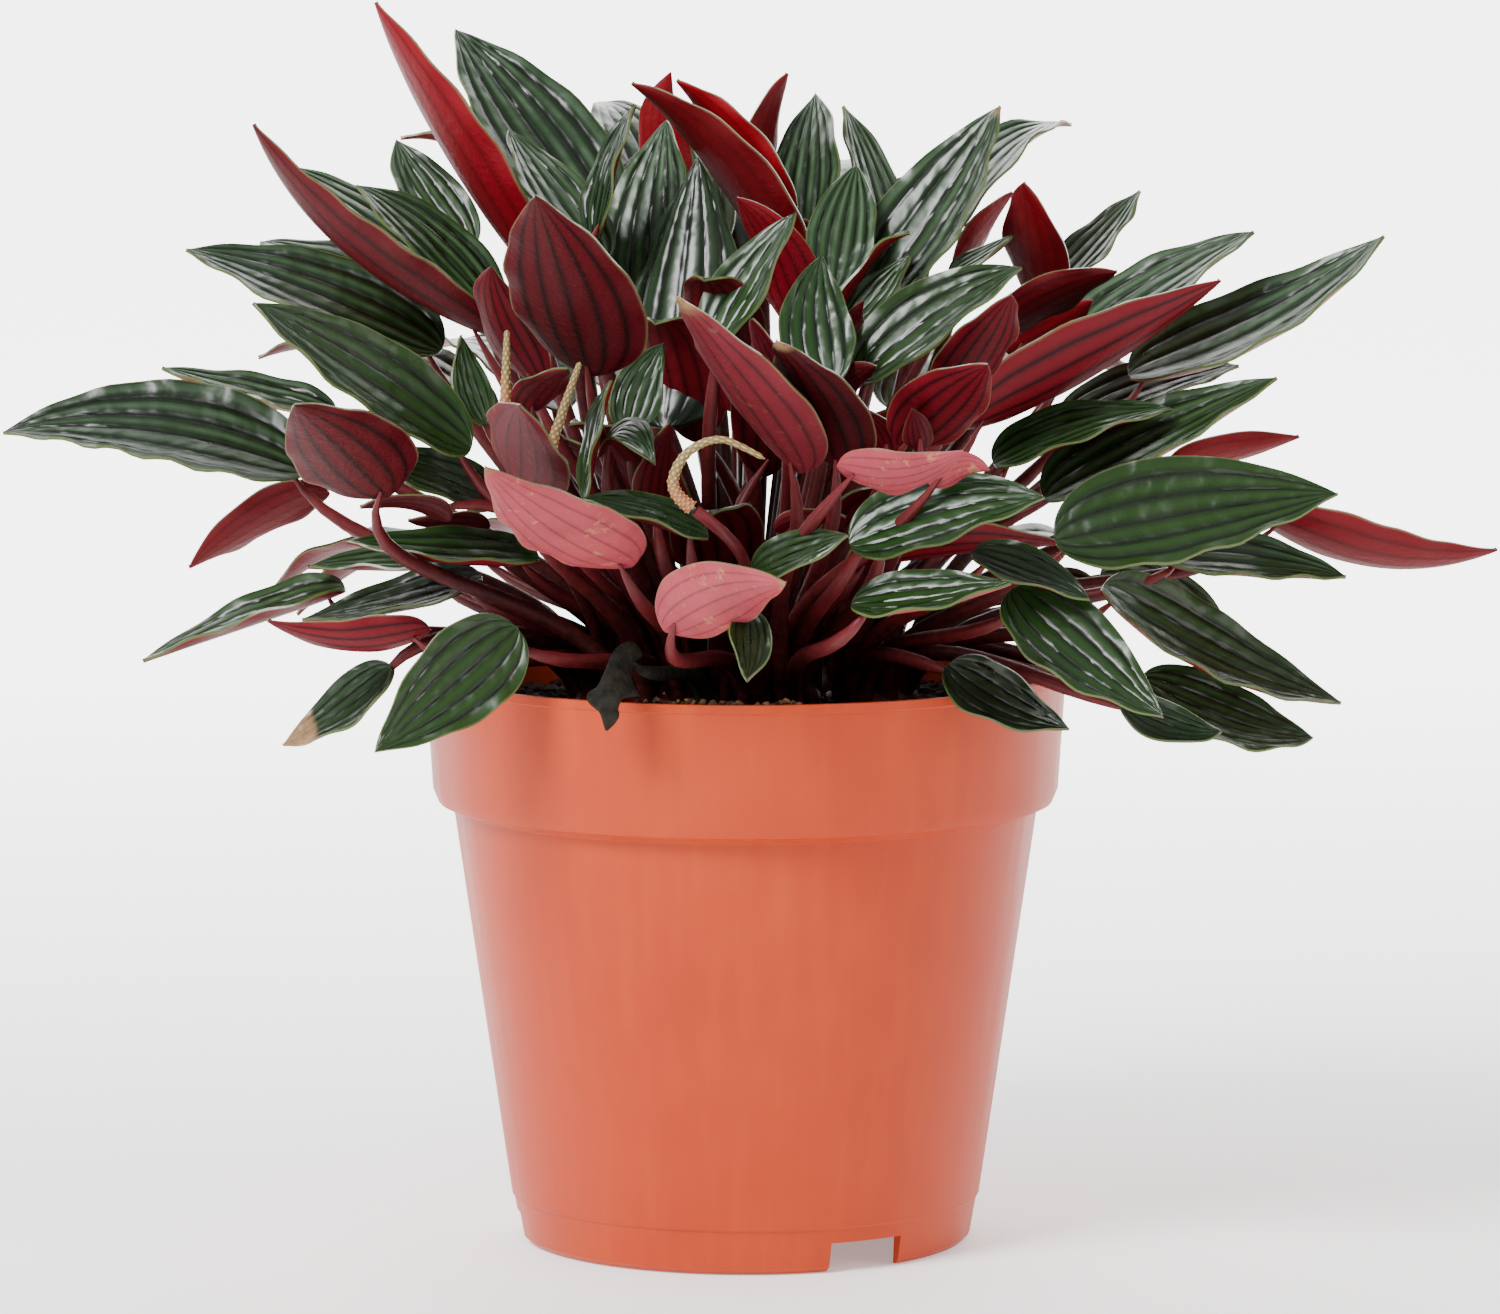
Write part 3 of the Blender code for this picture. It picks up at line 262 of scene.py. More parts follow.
# Ways for a petiole to pass the others: sideways bow in x and y in mm, and how much it rises into
# the blade.
BOWS = (
    (0, 0, 0.8), (0, 0, 0.2), (7, 0, 0.8), (-7, 0, 0.8), (0, 7, 0.8), (0, -7, 0.8), (13, 0, 0.6),
    (-13, 0, 0.6), (0, 13, 0.6), (0, -13, 0.6), (0, 0, -0.5), (10, 10, 0.3), (-10, 10, 0.3),
    (10, -10, 0.3), (-10, -10, 0.3),
)
DEPTH_SHIFTS = (0, 3, -3, 6, -6, 9, -9, 13, -13)   # mm along its line of sight that a leaf may move

# Flower spikes: the points of the spike from foot to tip in pixels, their depth in mm, the foot's and
# tip's thickness in pixels, then the stalk's root in the soil in mm.
SPIKES = (
    ("spike_left", ((505, 410), (506, 370), (507, 330)), -52, 12, 6, (-25.4, -15.9)),
    ("spike_middle", ((556, 492), (552, 450), (560, 420), (570, 390), (580, 362)), -58, 14, 6,
     (-16.1, -10.1)),
    ("spike_hook", ((692, 508), (680, 498), (673, 483), (680, 462), (697, 446), (725, 440), (765, 459)),
     -72, 15, 6, (-3.6, -17.5)),
)
SPIKE_PARTS = 2              # of each stretch between two of its points
SPIKE_SIDES = 6
STALK_SIDES = 5
STALK_R = 0.0011
SPIKE_GAP = 0.0008           # air between a stalk's end and its spike's foot
STALK_PARTS = 6
STALK_DEEP = 0.0060
STALK_RISE = 0.0020
STALK_UPRIGHT, STALK_ARRIVE = 0.35, 0.3   # the shares of its reach that it leaves and arrives along

# The withered leaf that hangs over the rim, in pixels, its depth in mm and its root in mm
WITHERED = ((640, 655, -57), (613, 686, -66), (607, 730, -68), (-7.5, -29.4))
WITHERED_W = 0.0090
WITHERED_CUP = 75
WITHERED_FACING = Vector((0.3, 0.9, 0.3))    # where its top faces
WITHERED_BOW = (0, -2, 0.5)  # as in BOWS
PEG_R = 0.0024               # the straight foot of its stem, in the soil
PEG_SIDES = 6

# How finely the visible pieces are made
FINE_ROWS = 36
FINE_STEM_PARTS = 14
FINE_STEM_SIDES = 10
FINE_STALK_PARTS = 24
FINE_STALK_SIDES = 12
FINE_CROWN_SIDES = 18
PLAIN_TINT = 0.5             # the middle of a stalk's tones
POT_FINE_STEPS = 144
SPIKE_FINE_ROWS = 180
SPIKE_FINE_SIDES = 24
STEM_TAPER = 0.8             # how early a leaf stalk grows thin, and how it closes under the blade
STEM_END = (0.85, 0.6, 0.25)
CROWN_HEIGHTS = (0, 0.7, 0.85, 0.95, 1.0)    # a fine crown's rounded top, in shares of its size
CROWN_RADII = (0.95, 0.95, 0.88, 0.7, 0.4)
BEADS = 5                    # buds round a spike, and how far apart their rows are
BEAD_STEP = 0.00085
BEAD_CORE = 0.92             # the spike's radius between its buds
BEAD_FOOT, BEAD_FINER = 0.24, 0.16   # how far a bud stands out at the foot, and how much less at the tip
SPIKE_BLUNT, SPIKE_END = 0.03, 0.25   # the share of a spike that its tip is rounded over, and to what
SHARP_ANGLE, POT_SHARP_ANGLE = 55, 28     # degrees from which an edge shows as one

# Loose crumbs on the soil: how many, and how small and how large
CRUMBS, CRUMB_SIZES, CRUMB_FLAT = 900, (0.0006, 0.0019), 0.7
PERLITE, PERLITE_SIZES, PERLITE_FLAT = 26, (0.0006, 0.0012), 0.9
CRUMB_SHAPES = (0.7, 1.3)    # how much longer or shorter than round
CRUMB_ROUGH = 0.3
CRUMB_LIFT = 0.15            # how far a crumb's middle lies over the soil, in its own size
HEAP_CRUMBS = 600            # the bank of crumbs at the rim, where it lies and how far it rises over it
HEAP_SIZES, HEAP_FLAT = (0.0004, 0.0009), 0.8
HEAP_TURNS = (-109.0, -80.0)
HEAP_WIDE, HEAP_OVER = 0.0110, 0.0006
HEAP_CLEAR = 0.0012

# The patterns of the surfaces, in metres from one patch, fleck or streak to the next
SHEEN_PATCH = 0.009
PINK_PATCH = 0.009
SCAR = 0.0035
DRY_MOTTLE = 0.0015
UNDER_GRAIN = 0.0016
STALK_FLECK, STALK_GRAIN = 0.0016, 0.0009
POT_CLOUD = 0.045
STREAK = 1 / 260             # about 3.8 mm, coarse enough to show
STREAK_SQUEEZE = 0.06        # a streak's width over its height
PUCKER_DRIFT, PUCKER_STRAY = 0.008, 9.0    # how soon a pucker's wave strays, and by how many radians
DIMPLE = 0.004
PUCKER_SHARE = 0.7           # how high a pucker is beside the dimples

# How much fine grain a noise pattern has within its patches
SOFT = {"Detail": 2.0, "Roughness": 0.6}
MEDIUM = {"Detail": 3.0, "Roughness": 0.6}
GRAINY = {"Detail": 4.0, "Roughness": 0.6}
RAGGED = {"Detail": 5.0, "Roughness": 0.7}
MARGIN_SHARE = 0.6           # how much a blade's pale margin covers its colour
COLOURS = {"data_type": "RGBA"}    # in a Mix of colours 6 and 7 are mixed by 0, and 2 is the result

# The rippled surface of a blade
VEINS = (-0.7, -0.36, 0.0, 0.36, 0.7)    # where they run, in half-widths from the midrib
VEIN_SIDES = (-0.1, -0.045, 0.0, 0.045, 0.1)   # where the surface is cut beside each vein
RIDGES = (0.18, 0.53)        # and between them and near the margin
MARGINS = (0.85, 0.94, 1.0)
RIDGE_END = 1.06             # the outer ridges would come down to the next vein here, past the margin
RIDGE_CREST = 0.4            # the lower, the flatter a ridge is on top
RIPPLE = 0.00030             # height of a ridge over the veins beside it
RIPPLE_FULL = 0.008          # the half-width from which the ripple has its full height
RIPPLE_LIMITS = (0.25, 1.1)  # and the least and the most of that anywhere
FADE_IN, FADE_OUT, FADE_CURVE = 5, 4, 0.7    # how fast it rises from the base and dies to the tip
UNDER_SHARE = 0.15           # how much of the ripple shows on the underside
SWELL, SWELL_STEP = 0.00008, 0.011   # how a ridge rises and falls along its length
PUCKER_STEP = 0.0046         # from one slanting pucker to the next
PUCKER_SLANT = -7.0          # radians of a pucker's wave from the midrib to the margin
EDGE_WAVE = 0.0005           # how far the margins wave up and down, and from one wave to the next
EDGE_WAVE_STEP = 0.013
WAVE_SHARES = (0.8, 1.2)     # each leaf waves so much less or more often
EDGE_LAG = 1.7               # half the radians that one margin's wave is ahead of the other's
THIN_MARGIN = 0.5            # how much thinner a blade is at its margin
WITHERED_CRUMPLE = 4.0       # a dry leaf waves so much more than a fresh one
NO_PAINTED_LIGHT_Y, FULL_PAINTED_LIGHT_Y = -0.045, 0.015   # painted sheen and backlight: none on blades that start this far in front, full from this far back
RED_Y, PINK_Y = -0.050, -0.064     # and the foremost are pink below

# Leaves with a dry tip: from which share of their length, and how softly it starts
DRY_TIPS = {"G24": 0.7, "D1": 0.9, "D2": 0.91, "C4": 0.94, "G1": 0.95, "G2": 0.95}
DRY_FADE = 0.05

# Light and floor
ROOM_LIGHT = 0.6
FLOOR_GLOW = (0.35, 3.4)     # how bright the floor in front is, and the wall and the floor behind
GLOW_FROM, GLOW_TO = 0.05, 0.9   # between these places behind the pot's axis
KEY_AT, KEY_SIZE, KEY_WATTS = (-0.8, -0.9, 1.2), 0.6, 46.0
FILL_AT, FILL_SIZE, FILL_WATTS = (1.2, -0.7, 0.7), 0.8, 6.0
LIT_AT = Vector((0, 0, 0.12))    # what the lights are turned to
SWEEP_HALF = 4.0             # half the floor's width, and how far it comes forward
SWEEP_TURN_Y, SWEEP_R = 1.6, 1.0     # where it starts to curve up, and how tightly
SWEEP_STEP = 6               # degrees
SWEEP_TOP = 4.0
FLOOR_DROP = 0.0002          # keeps it just clear of the pot's foot
SENSOR_MM = 36.0

# The photograph's camera as three directions
FORWARD = (TARGET - CAMERA).normalized()
RIGHT = FORWARD.cross(Vector((0, 0, 1))).normalized()
UP = RIGHT.cross(FORWARD)


def on_ray(px, py, depth):
    """The point in space behind a pixel of the photograph, at y = depth in mm."""
    ray = FORWARD + RIGHT * ((px - IMAGE_W / 2) / FOCAL_PX) - UP * ((py - IMAGE_H / 2) / FOCAL_PX)
    return CAMERA + ray * ((depth * MM - CAMERA.y) / ray.y)


def seen_size(pixels, at):
    """The real size of so many pixels at a point in space."""
    return pixels / FOCAL_PX * (at - CAMERA).dot(FORWARD)


def show(name, data):
    """An object of its own in the scene for a mesh, a light or a camera."""
    made = bpy.data.objects.new(name, data)
    bpy.context.scene.collection.objects.link(made)
    return made


def soil_z(x, y):
    """The height of the soil, which rises a little to the middle."""
    share = min(1.0, math.hypot(x, y) / (RIM_R - WALL))
    return SOIL_EDGE_Z + SOIL_DOME * (1 - share * share)


# Shapes as plain vertices and triangles

def bezier(a, b, c, d, t):
    """The point at share t of the curve from a to d that b and c pull on."""
    s = 1 - t
    return a * s ** 3 + b * 3 * s * s * t + c * 3 * s * t * t + d * t ** 3


def tube(points, radii, sides):
    """A closed tube along points: vertices and triangles."""
    verts, faces = [], []
    side = None
    for i, p in enumerate(points):
        along = (points[min(i + 1, len(points) - 1)] - points[max(i - 1, 0)]).normalized()
        if side is None:
            side = along.orthogonal().normalized()
        side = (side - along * side.dot(along)).normalized()
        other = along.cross(side)
        for k in range(sides):
            turn = 2 * math.pi * k / sides
            verts.append(p + (side * math.cos(turn) + other * math.sin(turn)) * radii[i])
    for i in range(len(points) - 1):
        for k in range(sides):
            a, b = i * sides + k, i * sides + (k + 1) % sides
            faces += [(a, b, b + sides), (a, b + sides, a + sides)]
    last = (len(points) - 1) * sides
    for k in range(1, sides - 1):
        faces += [(0, k + 1, k), (last, last + k, last + k + 1)]
    return verts, faces


def outline(u, ends):
    """Half-width along a blade, 1 where it is widest."""
    rise = (max(u, ends[0]) / WIDEST) ** ROUNDNESS
    return rise * (max(1 - u, ends[1]) / (1 - WIDEST)) ** TAPER


class Leaf:
    """A blade bent along base, middle and tip, cupped across, with its top on the normal's side."""

    def __init__(self, name, base, mid, tip, width, cup, normal):
        self.name, self.base, self.tip = name, base, tip
        self.handle = mid * 2 - (base + tip) / 2
        self.width, self.cup, self.normal = width, math.radians(cup), normal
        self.length = (mid - base).length + (tip - mid).length

    def point(self, u):
        return self.base * (1 - u) ** 2 + self.handle * 2 * u * (1 - u) + self.tip * u * u

    def along(self, u):
        return ((self.handle - self.base) * (1 - u) + (self.tip - self.handle) * u).normalized()

    def frame(self, u):
        """At a share of the length: the place, and the ways along, across and out of the top."""
        along = self.along(u)
        normal = (self.normal - along * self.normal.dot(along)).normalized()
        return self.point(u), along, along.cross(normal), normal


def rim_of(rows, cols):
    """The points round the edge of a grid, in their order."""
    rim = list(range(cols)) + [k * cols + cols - 1 for k in range(1, rows)]
    rim += [(rows - 1) * cols + k for k in range(cols - 2, -1, -1)]
    return rim + [k * cols for k in range(rows - 2, 0, -1)]


def blade(leaf, thick):
    """A leaf's blade: vertices, triangles and, for each triangle, 0 for top and 1 for underside."""
    big = leaf.length > BIG_LEAF
    rows, cols = (BIG_ROWS, BIG_COLS) if big else (SMALL_ROWS, SMALL_COLS)
    top, under = [], []
    for u in rows:
        p, _, across, normal = leaf.frame(u)
        half = leaf.width / 2 * outline(u, BLUNT_ENDS)
        for s in cols:
            bend = leaf.cup * s
            centre = (p + across * (half * math.sin(bend) / leaf.cup)
                      + normal * (half * (1 - math.cos(bend)) / leaf.cup))
            out = normal * math.cos(bend) - across * math.sin(bend)
            top.append(centre + out * thick / 2)
            under.append(centre - out * thick / 2)
    n, nr, nc = len(top), len(rows), len(cols)
    faces, sides = [], []
    for i in range(nr - 1):
        for j in range(nc - 1):
            a, b, c, d = i * nc + j, i * nc + j + 1, (i + 1) * nc + j + 1, (i + 1) * nc + j
            faces += [(a, b, c), (a, c, d), (a + n, c + n, b + n), (a + n, d + n, c + n)]
            sides += [0, 0, 1, 1]
    rim = rim_of(nr, nc)
    for v, w in zip(rim, rim[1:] + rim[:1]):
        faces += [(w, v, v + n), (w, v + n, w + n)]
        sides += [0, 0]
    return top + under, faces, sides


def petiole_path(leaf, root, bow, parts):
    """A leaf stalk's points, from a crown to the blade's base."""
    bow_x, bow_y, rise = bow
    p, along, _, normal = leaf.frame(0.0)
    end = p + along * PETIOLE_SUNK - normal * PETIOLE_TIP_R * PETIOLE_UNDER
    reach = (end - root).length
    heading = (along * PETIOLE_LEAN + Vector((0, 0, rise))).normalized()
    bend = Vector((bow_x, bow_y, 0)) * MM
    first = root + Vector((0, 0, 1)) * reach * PETIOLE_RISE + bend
    second = end - heading * reach * PETIOLE_ARRIVE + bend
    return [bezier(root, first, second, end, i / parts) for i in range(parts + 1)]


def petiole(leaf, root, bow):
    """A leaf stalk as a plain tube."""
    points = petiole_path(leaf, root, bow, PETIOLE_PARTS)
    thinner = PETIOLE_TIP_R - PETIOLE_ROOT_R
    radii = [PETIOLE_ROOT_R + thinner * i / PETIOLE_PARTS for i in range(PETIOLE_PARTS + 1)]
    return tube(points, radii, PETIOLE_SIDES)


# Where everything goes

def face_angle(width, cup, seen):
    """How far a blade is turned from the camera, in radians, to look as narrow as it does."""
    half, fits = width / 2 / cup, []
    for degrees in TURNS_TRIED:
        turn = math.radians(degrees)
        lift = half * (1 - math.cos(cup)) * math.sin(turn)
        edges = [lift - half * math.sin(cup) * math.cos(turn), 0,
                 lift + half * math.sin(cup) * math.cos(turn)]
        fits.append((abs(max(edges) - min(edges) - seen), turn))
    return min(fits)[1]


def photo_leaf(row, shift):
    """The leaf of a table row, moved by shift mm along its lines of sight."""
    name, bx, by, mx, my, tx, ty, seen_px, side, base_d, tip_d, cup = row
    base = on_ray(bx, by, base_d + shift)
    mid = on_ray(mx, my, (base_d + tip_d) / 2 + shift)
    tip = on_ray(tx, ty, tip_d + shift)
    seen = seen_size(seen_px, mid)
    bend = math.radians(abs(cup))
    width = max((tip - base).length * ASPECT, seen * bend / math.sin(bend))
    turn = face_angle(width, bend, seen)
    if side == "U":
        turn = math.pi - turn
    along = (tip - base).normalized()
    to_camera = (CAMERA - mid).normalized()
    facing = (to_camera - along * to_camera.dot(along)).normalized()
    upward = along.cross(facing)
    if upward.z < 0:
        upward = -upward
    return Leaf(name, base, mid, tip, width, cup, facing * math.cos(turn) + upward * math.sin(turn))


def tier_leaf(name, azimuth, lift, tier, stray):
    """A leaf of the far side from its tier's radii and heights."""
    _, _, _, base_r, base_z, tip_r, tip_z, width = tier
    out = Vector((math.cos(math.radians(azimuth)), math.sin(math.radians(azimuth)), 0))
    base = out * base_r * MM + Vector((0, 0, base_z + lift)) * MM
    tip = out * (tip_r + stray[0]) * MM + Vector((0, 0, tip_z + lift + stray[1])) * MM
    tip += Vector((-out.y, out.x, 0)) * stray[2] * MM
    mid = (base + tip) / 2 + Vector((0, 0, TIER_ARCH))
    return Leaf(name, base, mid, tip, width * MM, TIER_CUP, Vector((0, 0, 1)) + out * TIER_LEAN)


def crowns():
    """Where the crowns stand, x and y."""
    rings = ((OUTER_CROWNS, OUTER_RING_R, OUTER_AZ), (INNER_CROWNS, INNER_RING_R, INNER_AZ))
    spots = []
    for count, radius, first in rings:
        for k in range(count):
            turn = math.radians(first + 360 * k / count)
            spots.append(Vector((math.cos(turn), math.sin(turn), 0)) * radius)
    return spots


def rooted(leaf):
    """The crown a leaf belongs to, and where on it its petiole is rooted."""
    wish = Vector((leaf.base.x, leaf.base.y, 0)) * ROOT_SHARE
    spots = crowns()
    shoot = min(range(len(spots)), key=lambda k: (spots[k] - wish).length)
    spot = spots[shoot]
    off = wish - spot
    if off.length > ROOT_SPREAD:
        off *= ROOT_SPREAD / off.length
    at = spot + off
    return shoot, Vector((at.x, at.y, soil_z(spot.x, spot.y) + CROWN_RISE - ROOT_SUNK))


def shell(profile, steps):
    """A closed band of revolution around the pot's axis, only to test against."""
    verts, faces = [], []
    for k in range(steps):
        turn = 2 * math.pi * k / steps
        verts += [Vector((r * math.cos(turn), r * math.sin(turn), z)) for r, z in profile]
    n = len(profile)
    for k in range(steps):
        for i in range(n):
            a, b = k * n + i, k * n + (i + 1) % n
            c, d = (a + n) % (steps * n), (b + n) % (steps * n)
            faces += [(a, c, d), (a, d, b)]
    return verts, faces


def crown_tube(spot):
    """A crown as a plain upright tube."""
    low = Vector((spot.x, spot.y, soil_z(spot.x, spot.y) - CROWN_DEEP))
    return tube([low, low + Vector((0, 0, CROWN_DEEP + CROWN_RISE))], [CROWN_R] * 2, CROWN_SIDES)


def box_of(verts):
    """A solid's lowest and its highest corner."""
    return [min(v[i] for v in verts) for i in range(3)], [max(v[i] for v in verts) for i in range(3)]


class Placing:
    """What has been placed so far, and which shoots have grown into one."""

    def __init__(self):
        self.solids = []
        self.joined = list(range(len(crowns())))

    def root_of(self, owner):
        """The shoot that this one has grown into. Where the owner is no shoot, it is its own."""
        while isinstance(owner, int) and self.joined[owner] != owner:
            owner = self.joined[owner]
        return owner

    def put(self, owner, verts, faces):
        """Set a solid down, so that what follows has to clear it."""
        low, high = box_of(verts)
        self.solids.append((owner, low, high, BVHTree.FromPolygons(verts, faces)))

    def crossed(self, owner, verts, faces):
        """The other pieces that this solid cuts, and how many of its own shoot's."""
        low, high = box_of(verts)
        own, found, within, tree = self.root_of(owner), set(), 0, None
        for other, a, b, solid in self.solids:
            other = self.root_of(other)
            if other in found or any(low[i] > b[i] or high[i] < a[i] for i in range(3)):
                continue
            tree = tree or BVHTree.FromPolygons(verts, faces)
            if not tree.overlap(solid):
                continue
            if other == own:
                within += 1
            else:
                found.add(other)
        return found, within


def settle(placing, leaves):
    """Of a leaf's candidates the one that cuts fewest other shoots, then fewest of its own."""
    best = None
    for leaf in leaves:
        shoot, root = rooted(leaf)
        wide, within = placing.crossed(shoot, *blade(leaf, BLADE_T + 2 * MARGIN)[:2])
        if best and (len(wide), within) >= best[0]:
            continue
        for bow in BOWS:
            more, again = placing.crossed(shoot, *petiole(leaf, root, bow))
            score = (len(wide | more), within + again)
            if best is None or score < best[0]:
                best = (score, wide | more, leaf, shoot, root, bow)
            if score <= (0, 1):
                return best
    return best


def leaf_options():
    """Where each leaf may go: the photographed ones with the largest first, then the hidden ones."""
    queue = [[photo_leaf(row, shift) for shift in DEPTH_SHIFTS] for row in LEAVES]
    queue.sort(key=lambda options: -options[0].length * options[0].width)
    rng = random.Random(SEED)
    for t, tier in enumerate(TIERS):
        for k in range(tier[0]):
            azimuth = tier[1] + (tier[2] - tier[1]) * k / (tier[0] - 1)
            stray = [rng.uniform(-far, far) for far in TIER_STRAY]
            queue.append([tier_leaf("tier%d_%d" % (t, k), azimuth + nudge, lift, tier, stray)
                          for nudge in TIER_NUDGES for lift in TIER_LIFTS])
    return queue


def place_leaves(fixed):
    """Every leaf, each clear of the other shoots or grown into one with the shoot it cuts. What comes
    back is each shoot's leaves, and the crowns that it has."""
    placing = Placing()
    for owner, verts, faces in fixed:
        placing.put(owner, verts, faces)
    for k, spot in enumerate(crowns()):
        placing.put(k, *crown_tube(spot))
    placed = []
    for options in leaf_options():
        _, cut, leaf, shoot, root, bow = settle(placing, options)
        hidden = leaf.name.startswith("tier")
        if any(not isinstance(other, int) for other in cut) or (hidden and cut):
            continue
        for other in cut:
            placing.joined[placing.root_of(other)] = placing.root_of(shoot)
        placing.put(shoot, *blade(leaf, BLADE_T)[:2])
        placing.put(shoot, *petiole(leaf, root, bow))
        placed.append((leaf, shoot, root, bow))
    groups, members = {}, {}
    for leaf, shoot, root, bow in placed:
        groups.setdefault(placing.root_of(shoot), []).append((leaf, root, bow))
    for k in range(len(crowns())):
        groups.setdefault(placing.root_of(k), [])
        members.setdefault(placing.root_of(k), []).append(k)
    return groups, members


def collar_step_z():
    """The height of the step under the collar."""
    return POT_H - COLLAR_H


def body_r(z):
    """The outside radius of the pot's body at a height."""
    return BAND_R + (BODY_TOP_R - BAND_R) * (z - BAND_Z) / (collar_step_z() - BAND_Z)


def inner_r(z):
    """The pot's inside radius at a height."""
    step = collar_step_z() + WALL
    if z < step:
        return body_r(z) - WALL
    return COLLAR_FOOT_R - WALL + (RIM_R - COLLAR_FOOT_R) * (z - step) / (POT_H - step)


def pot_profile():
    """Half-section from the axis up the inside, over the rim and down the outside to the axis."""
    step, plate = collar_step_z(), PLATE_Z + WALL
    ledge = step + WALL
    points = [(0, plate), (inner_r(plate), plate), (inner_r(ledge - LEDGE), ledge - LEDGE),
              (inner_r(ledge), ledge), (RIM_R - WALL, POT_H), (RIM_R, POT_H),
              (RIM_R, POT_H - LIP_H), (RIM_R - LIP_STEP, POT_H - LIP_H - LIP_STEP)]
    for k in range(3):
        turn = math.radians(45 * k)
        points.append((COLLAR_FOOT_R - COLLAR_ROUND * (1 - math.cos(turn)),
                       step + COLLAR_ROUND * (1 - math.sin(turn))))
    foot = FOOT_R - FOOT_ROUND
    points += [(BODY_TOP_R, step - CREASE), (BAND_R, BAND_Z), (BAND_R - BAND_INSET, BAND_Z - CREASE),
               (FOOT_R, FOOT_ROUND), (foot, 0), (foot - FOOT_RING, 0),
               (foot - FOOT_RING / 2, PLATE_Z), (0, PLATE_Z)]
    return points


def test_walls():
    """The collar and the wall below it, as the leaves must clear them."""
    step, inside, outside = collar_step_z(), RIM_R - WALL - MARGIN, RIM_R + MARGIN
    collar = [(inside, step), (outside, step), (outside, POT_H + MARGIN), (inside, POT_H + MARGIN)]
    body = [(FOOT_R - WALL, 0.0), (FOOT_R, 0.0), (BODY_TOP_R + MARGIN, step), (BODY_TOP_R - WALL, step)]
    return [("pot",) + shell(collar, POT_STEPS), ("pot",) + shell(body, POT_STEPS)]


def turned(name, profile, steps):
    """A profile turned round the pot's axis."""
    edges = [(i, i + 1) for i in range(len(profile) - 1)]
    mesh = bpy.data.meshes.new(name)
    mesh.from_pydata([(r, 0, z) for r, z in profile], edges, [])
    made = show(name, mesh)
    screw = made.modifiers.new("Turned", "SCREW")
    screw.axis, screw.angle = "Z", 2 * math.pi
    screw.steps = screw.render_steps = steps
    screw.use_merge_vertices, screw.merge_threshold = True, MERGE
    screw.use_smooth_shade = False
    return made


def cutter(name, work, place, turn, home):
    """What the bmesh holds as a solid to take away, set down and turned."""
    mesh = bpy.data.meshes.new(name)
    work.to_mesh(mesh)
    work.free()
    made = bpy.data.objects.new(name, mesh)
    made.location, made.rotation_euler = place, (0, 0, turn)
    home.objects.link(made)


def add_drain_cutter(name, turn, home):
    """The drill for one hole in the base plate."""
    work = bmesh.new()
    bmesh.ops.create_cone(work, cap_ends=True, segments=DRAIN_SIDES, radius1=DRAIN_R, radius2=DRAIN_R,
                          depth=CUT_DEPTH * WALL)
    cutter(name, work, (math.cos(turn) * DRAIN_RING_R, math.sin(turn) * DRAIN_RING_R, PLATE_Z), 0, home)


def add_notch_cutter(name, turn, home):
    """The block that leaves one notch in the foot."""
    work = bmesh.new()
    bmesh.ops.create_cube(work, size=1.0)
    bmesh.ops.scale(work, vec=(NOTCH_DEPTH * WALL, NOTCH_W, 2 * NOTCH_H), verts=work.verts)
    cutter(name, work, (math.cos(turn) * FOOT_R, math.sin(turn) * FOOT_R, 0), turn, home)


def cut_pot():
    """The turned pot less its drain holes and the notches in its foot, as one mesh."""
    pot = turned("pot", pot_profile(), POT_FINE_STEPS)
    away = bpy.data.collections.new("cutters")
    bpy.context.scene.collection.children.link(away)
    for k in range(DRAINS):
        add_drain_cutter("drain_%d" % k, 2 * math.pi * k / DRAINS, away)
    for k in range(NOTCHES):
        add_notch_cutter("notch_%d" % k, math.radians(NOTCH_AZ + 360 * k / NOTCHES), away)
    cut = pot.modifiers.new("Holes", "BOOLEAN")
    cut.operation, cut.solver = "DIFFERENCE", "EXACT"
    cut.operand_type, cut.collection = "COLLECTION", away
    solid = bpy.data.meshes.new_from_object(pot.evaluated_get(bpy.context.evaluated_depsgraph_get()))
    for old in list(away.objects) + [pot]:
        bpy.data.objects.remove(old, do_unlink=True)
    bpy.data.collections.remove(away)
    return solid


def spike_path(spike):
    """The spike's points and radii, foot first."""
    _, marks, depth, foot_px, tip_px, _ = spike
    points = [on_ray(x, y, depth) for x, y in marks]
    fine = smooth_path(points, SPIKE_PARTS)
    radii = [seen_size(foot_px + (tip_px - foot_px) * i / (len(fine) - 1), fine[0]) / 2
             for i in range(len(fine))]
    return fine, radii


def smooth_path(points, parts):
    """A curve through points, each stretch in so many parts."""
    ends = [points[0] * 2 - points[1]] + list(points) + [points[-1] * 2 - points[-2]]
    made = []
    for i in range(1, len(ends) - 2):
        a, b, c, d = ends[i - 1:i + 3]
        for k in range(parts):
            t = k / parts
            made.append((b * 2 + (c - a) * t + (a * 2 - b * 5 + c * 4 - d) * t * t
                         + (b * 3 - a - c * 3 + d) * t ** 3) / 2)
    return made + [points[-1]]


def stalk_path(spike, parts):
    """From the hole in the soil to a gap below the spike's foot."""
    fine, _ = spike_path(spike)
    heading = (fine[1] - fine[0]).normalized()
    x, y = (v * MM for v in spike[5])
    root = Vector((x, y, soil_z(x, y) - STALK_DEEP))
    top = fine[0] - heading * SPIKE_GAP
    straight = root + Vector((0, 0, STALK_DEEP + STALK_RISE))
    reach = (top - straight).length
    first = straight + Vector((0, 0, reach * STALK_UPRIGHT))
    second = top - heading * reach * STALK_ARRIVE
    return [root] + [bezier(straight, first, second, top, i / parts) for i in range(parts + 1)]


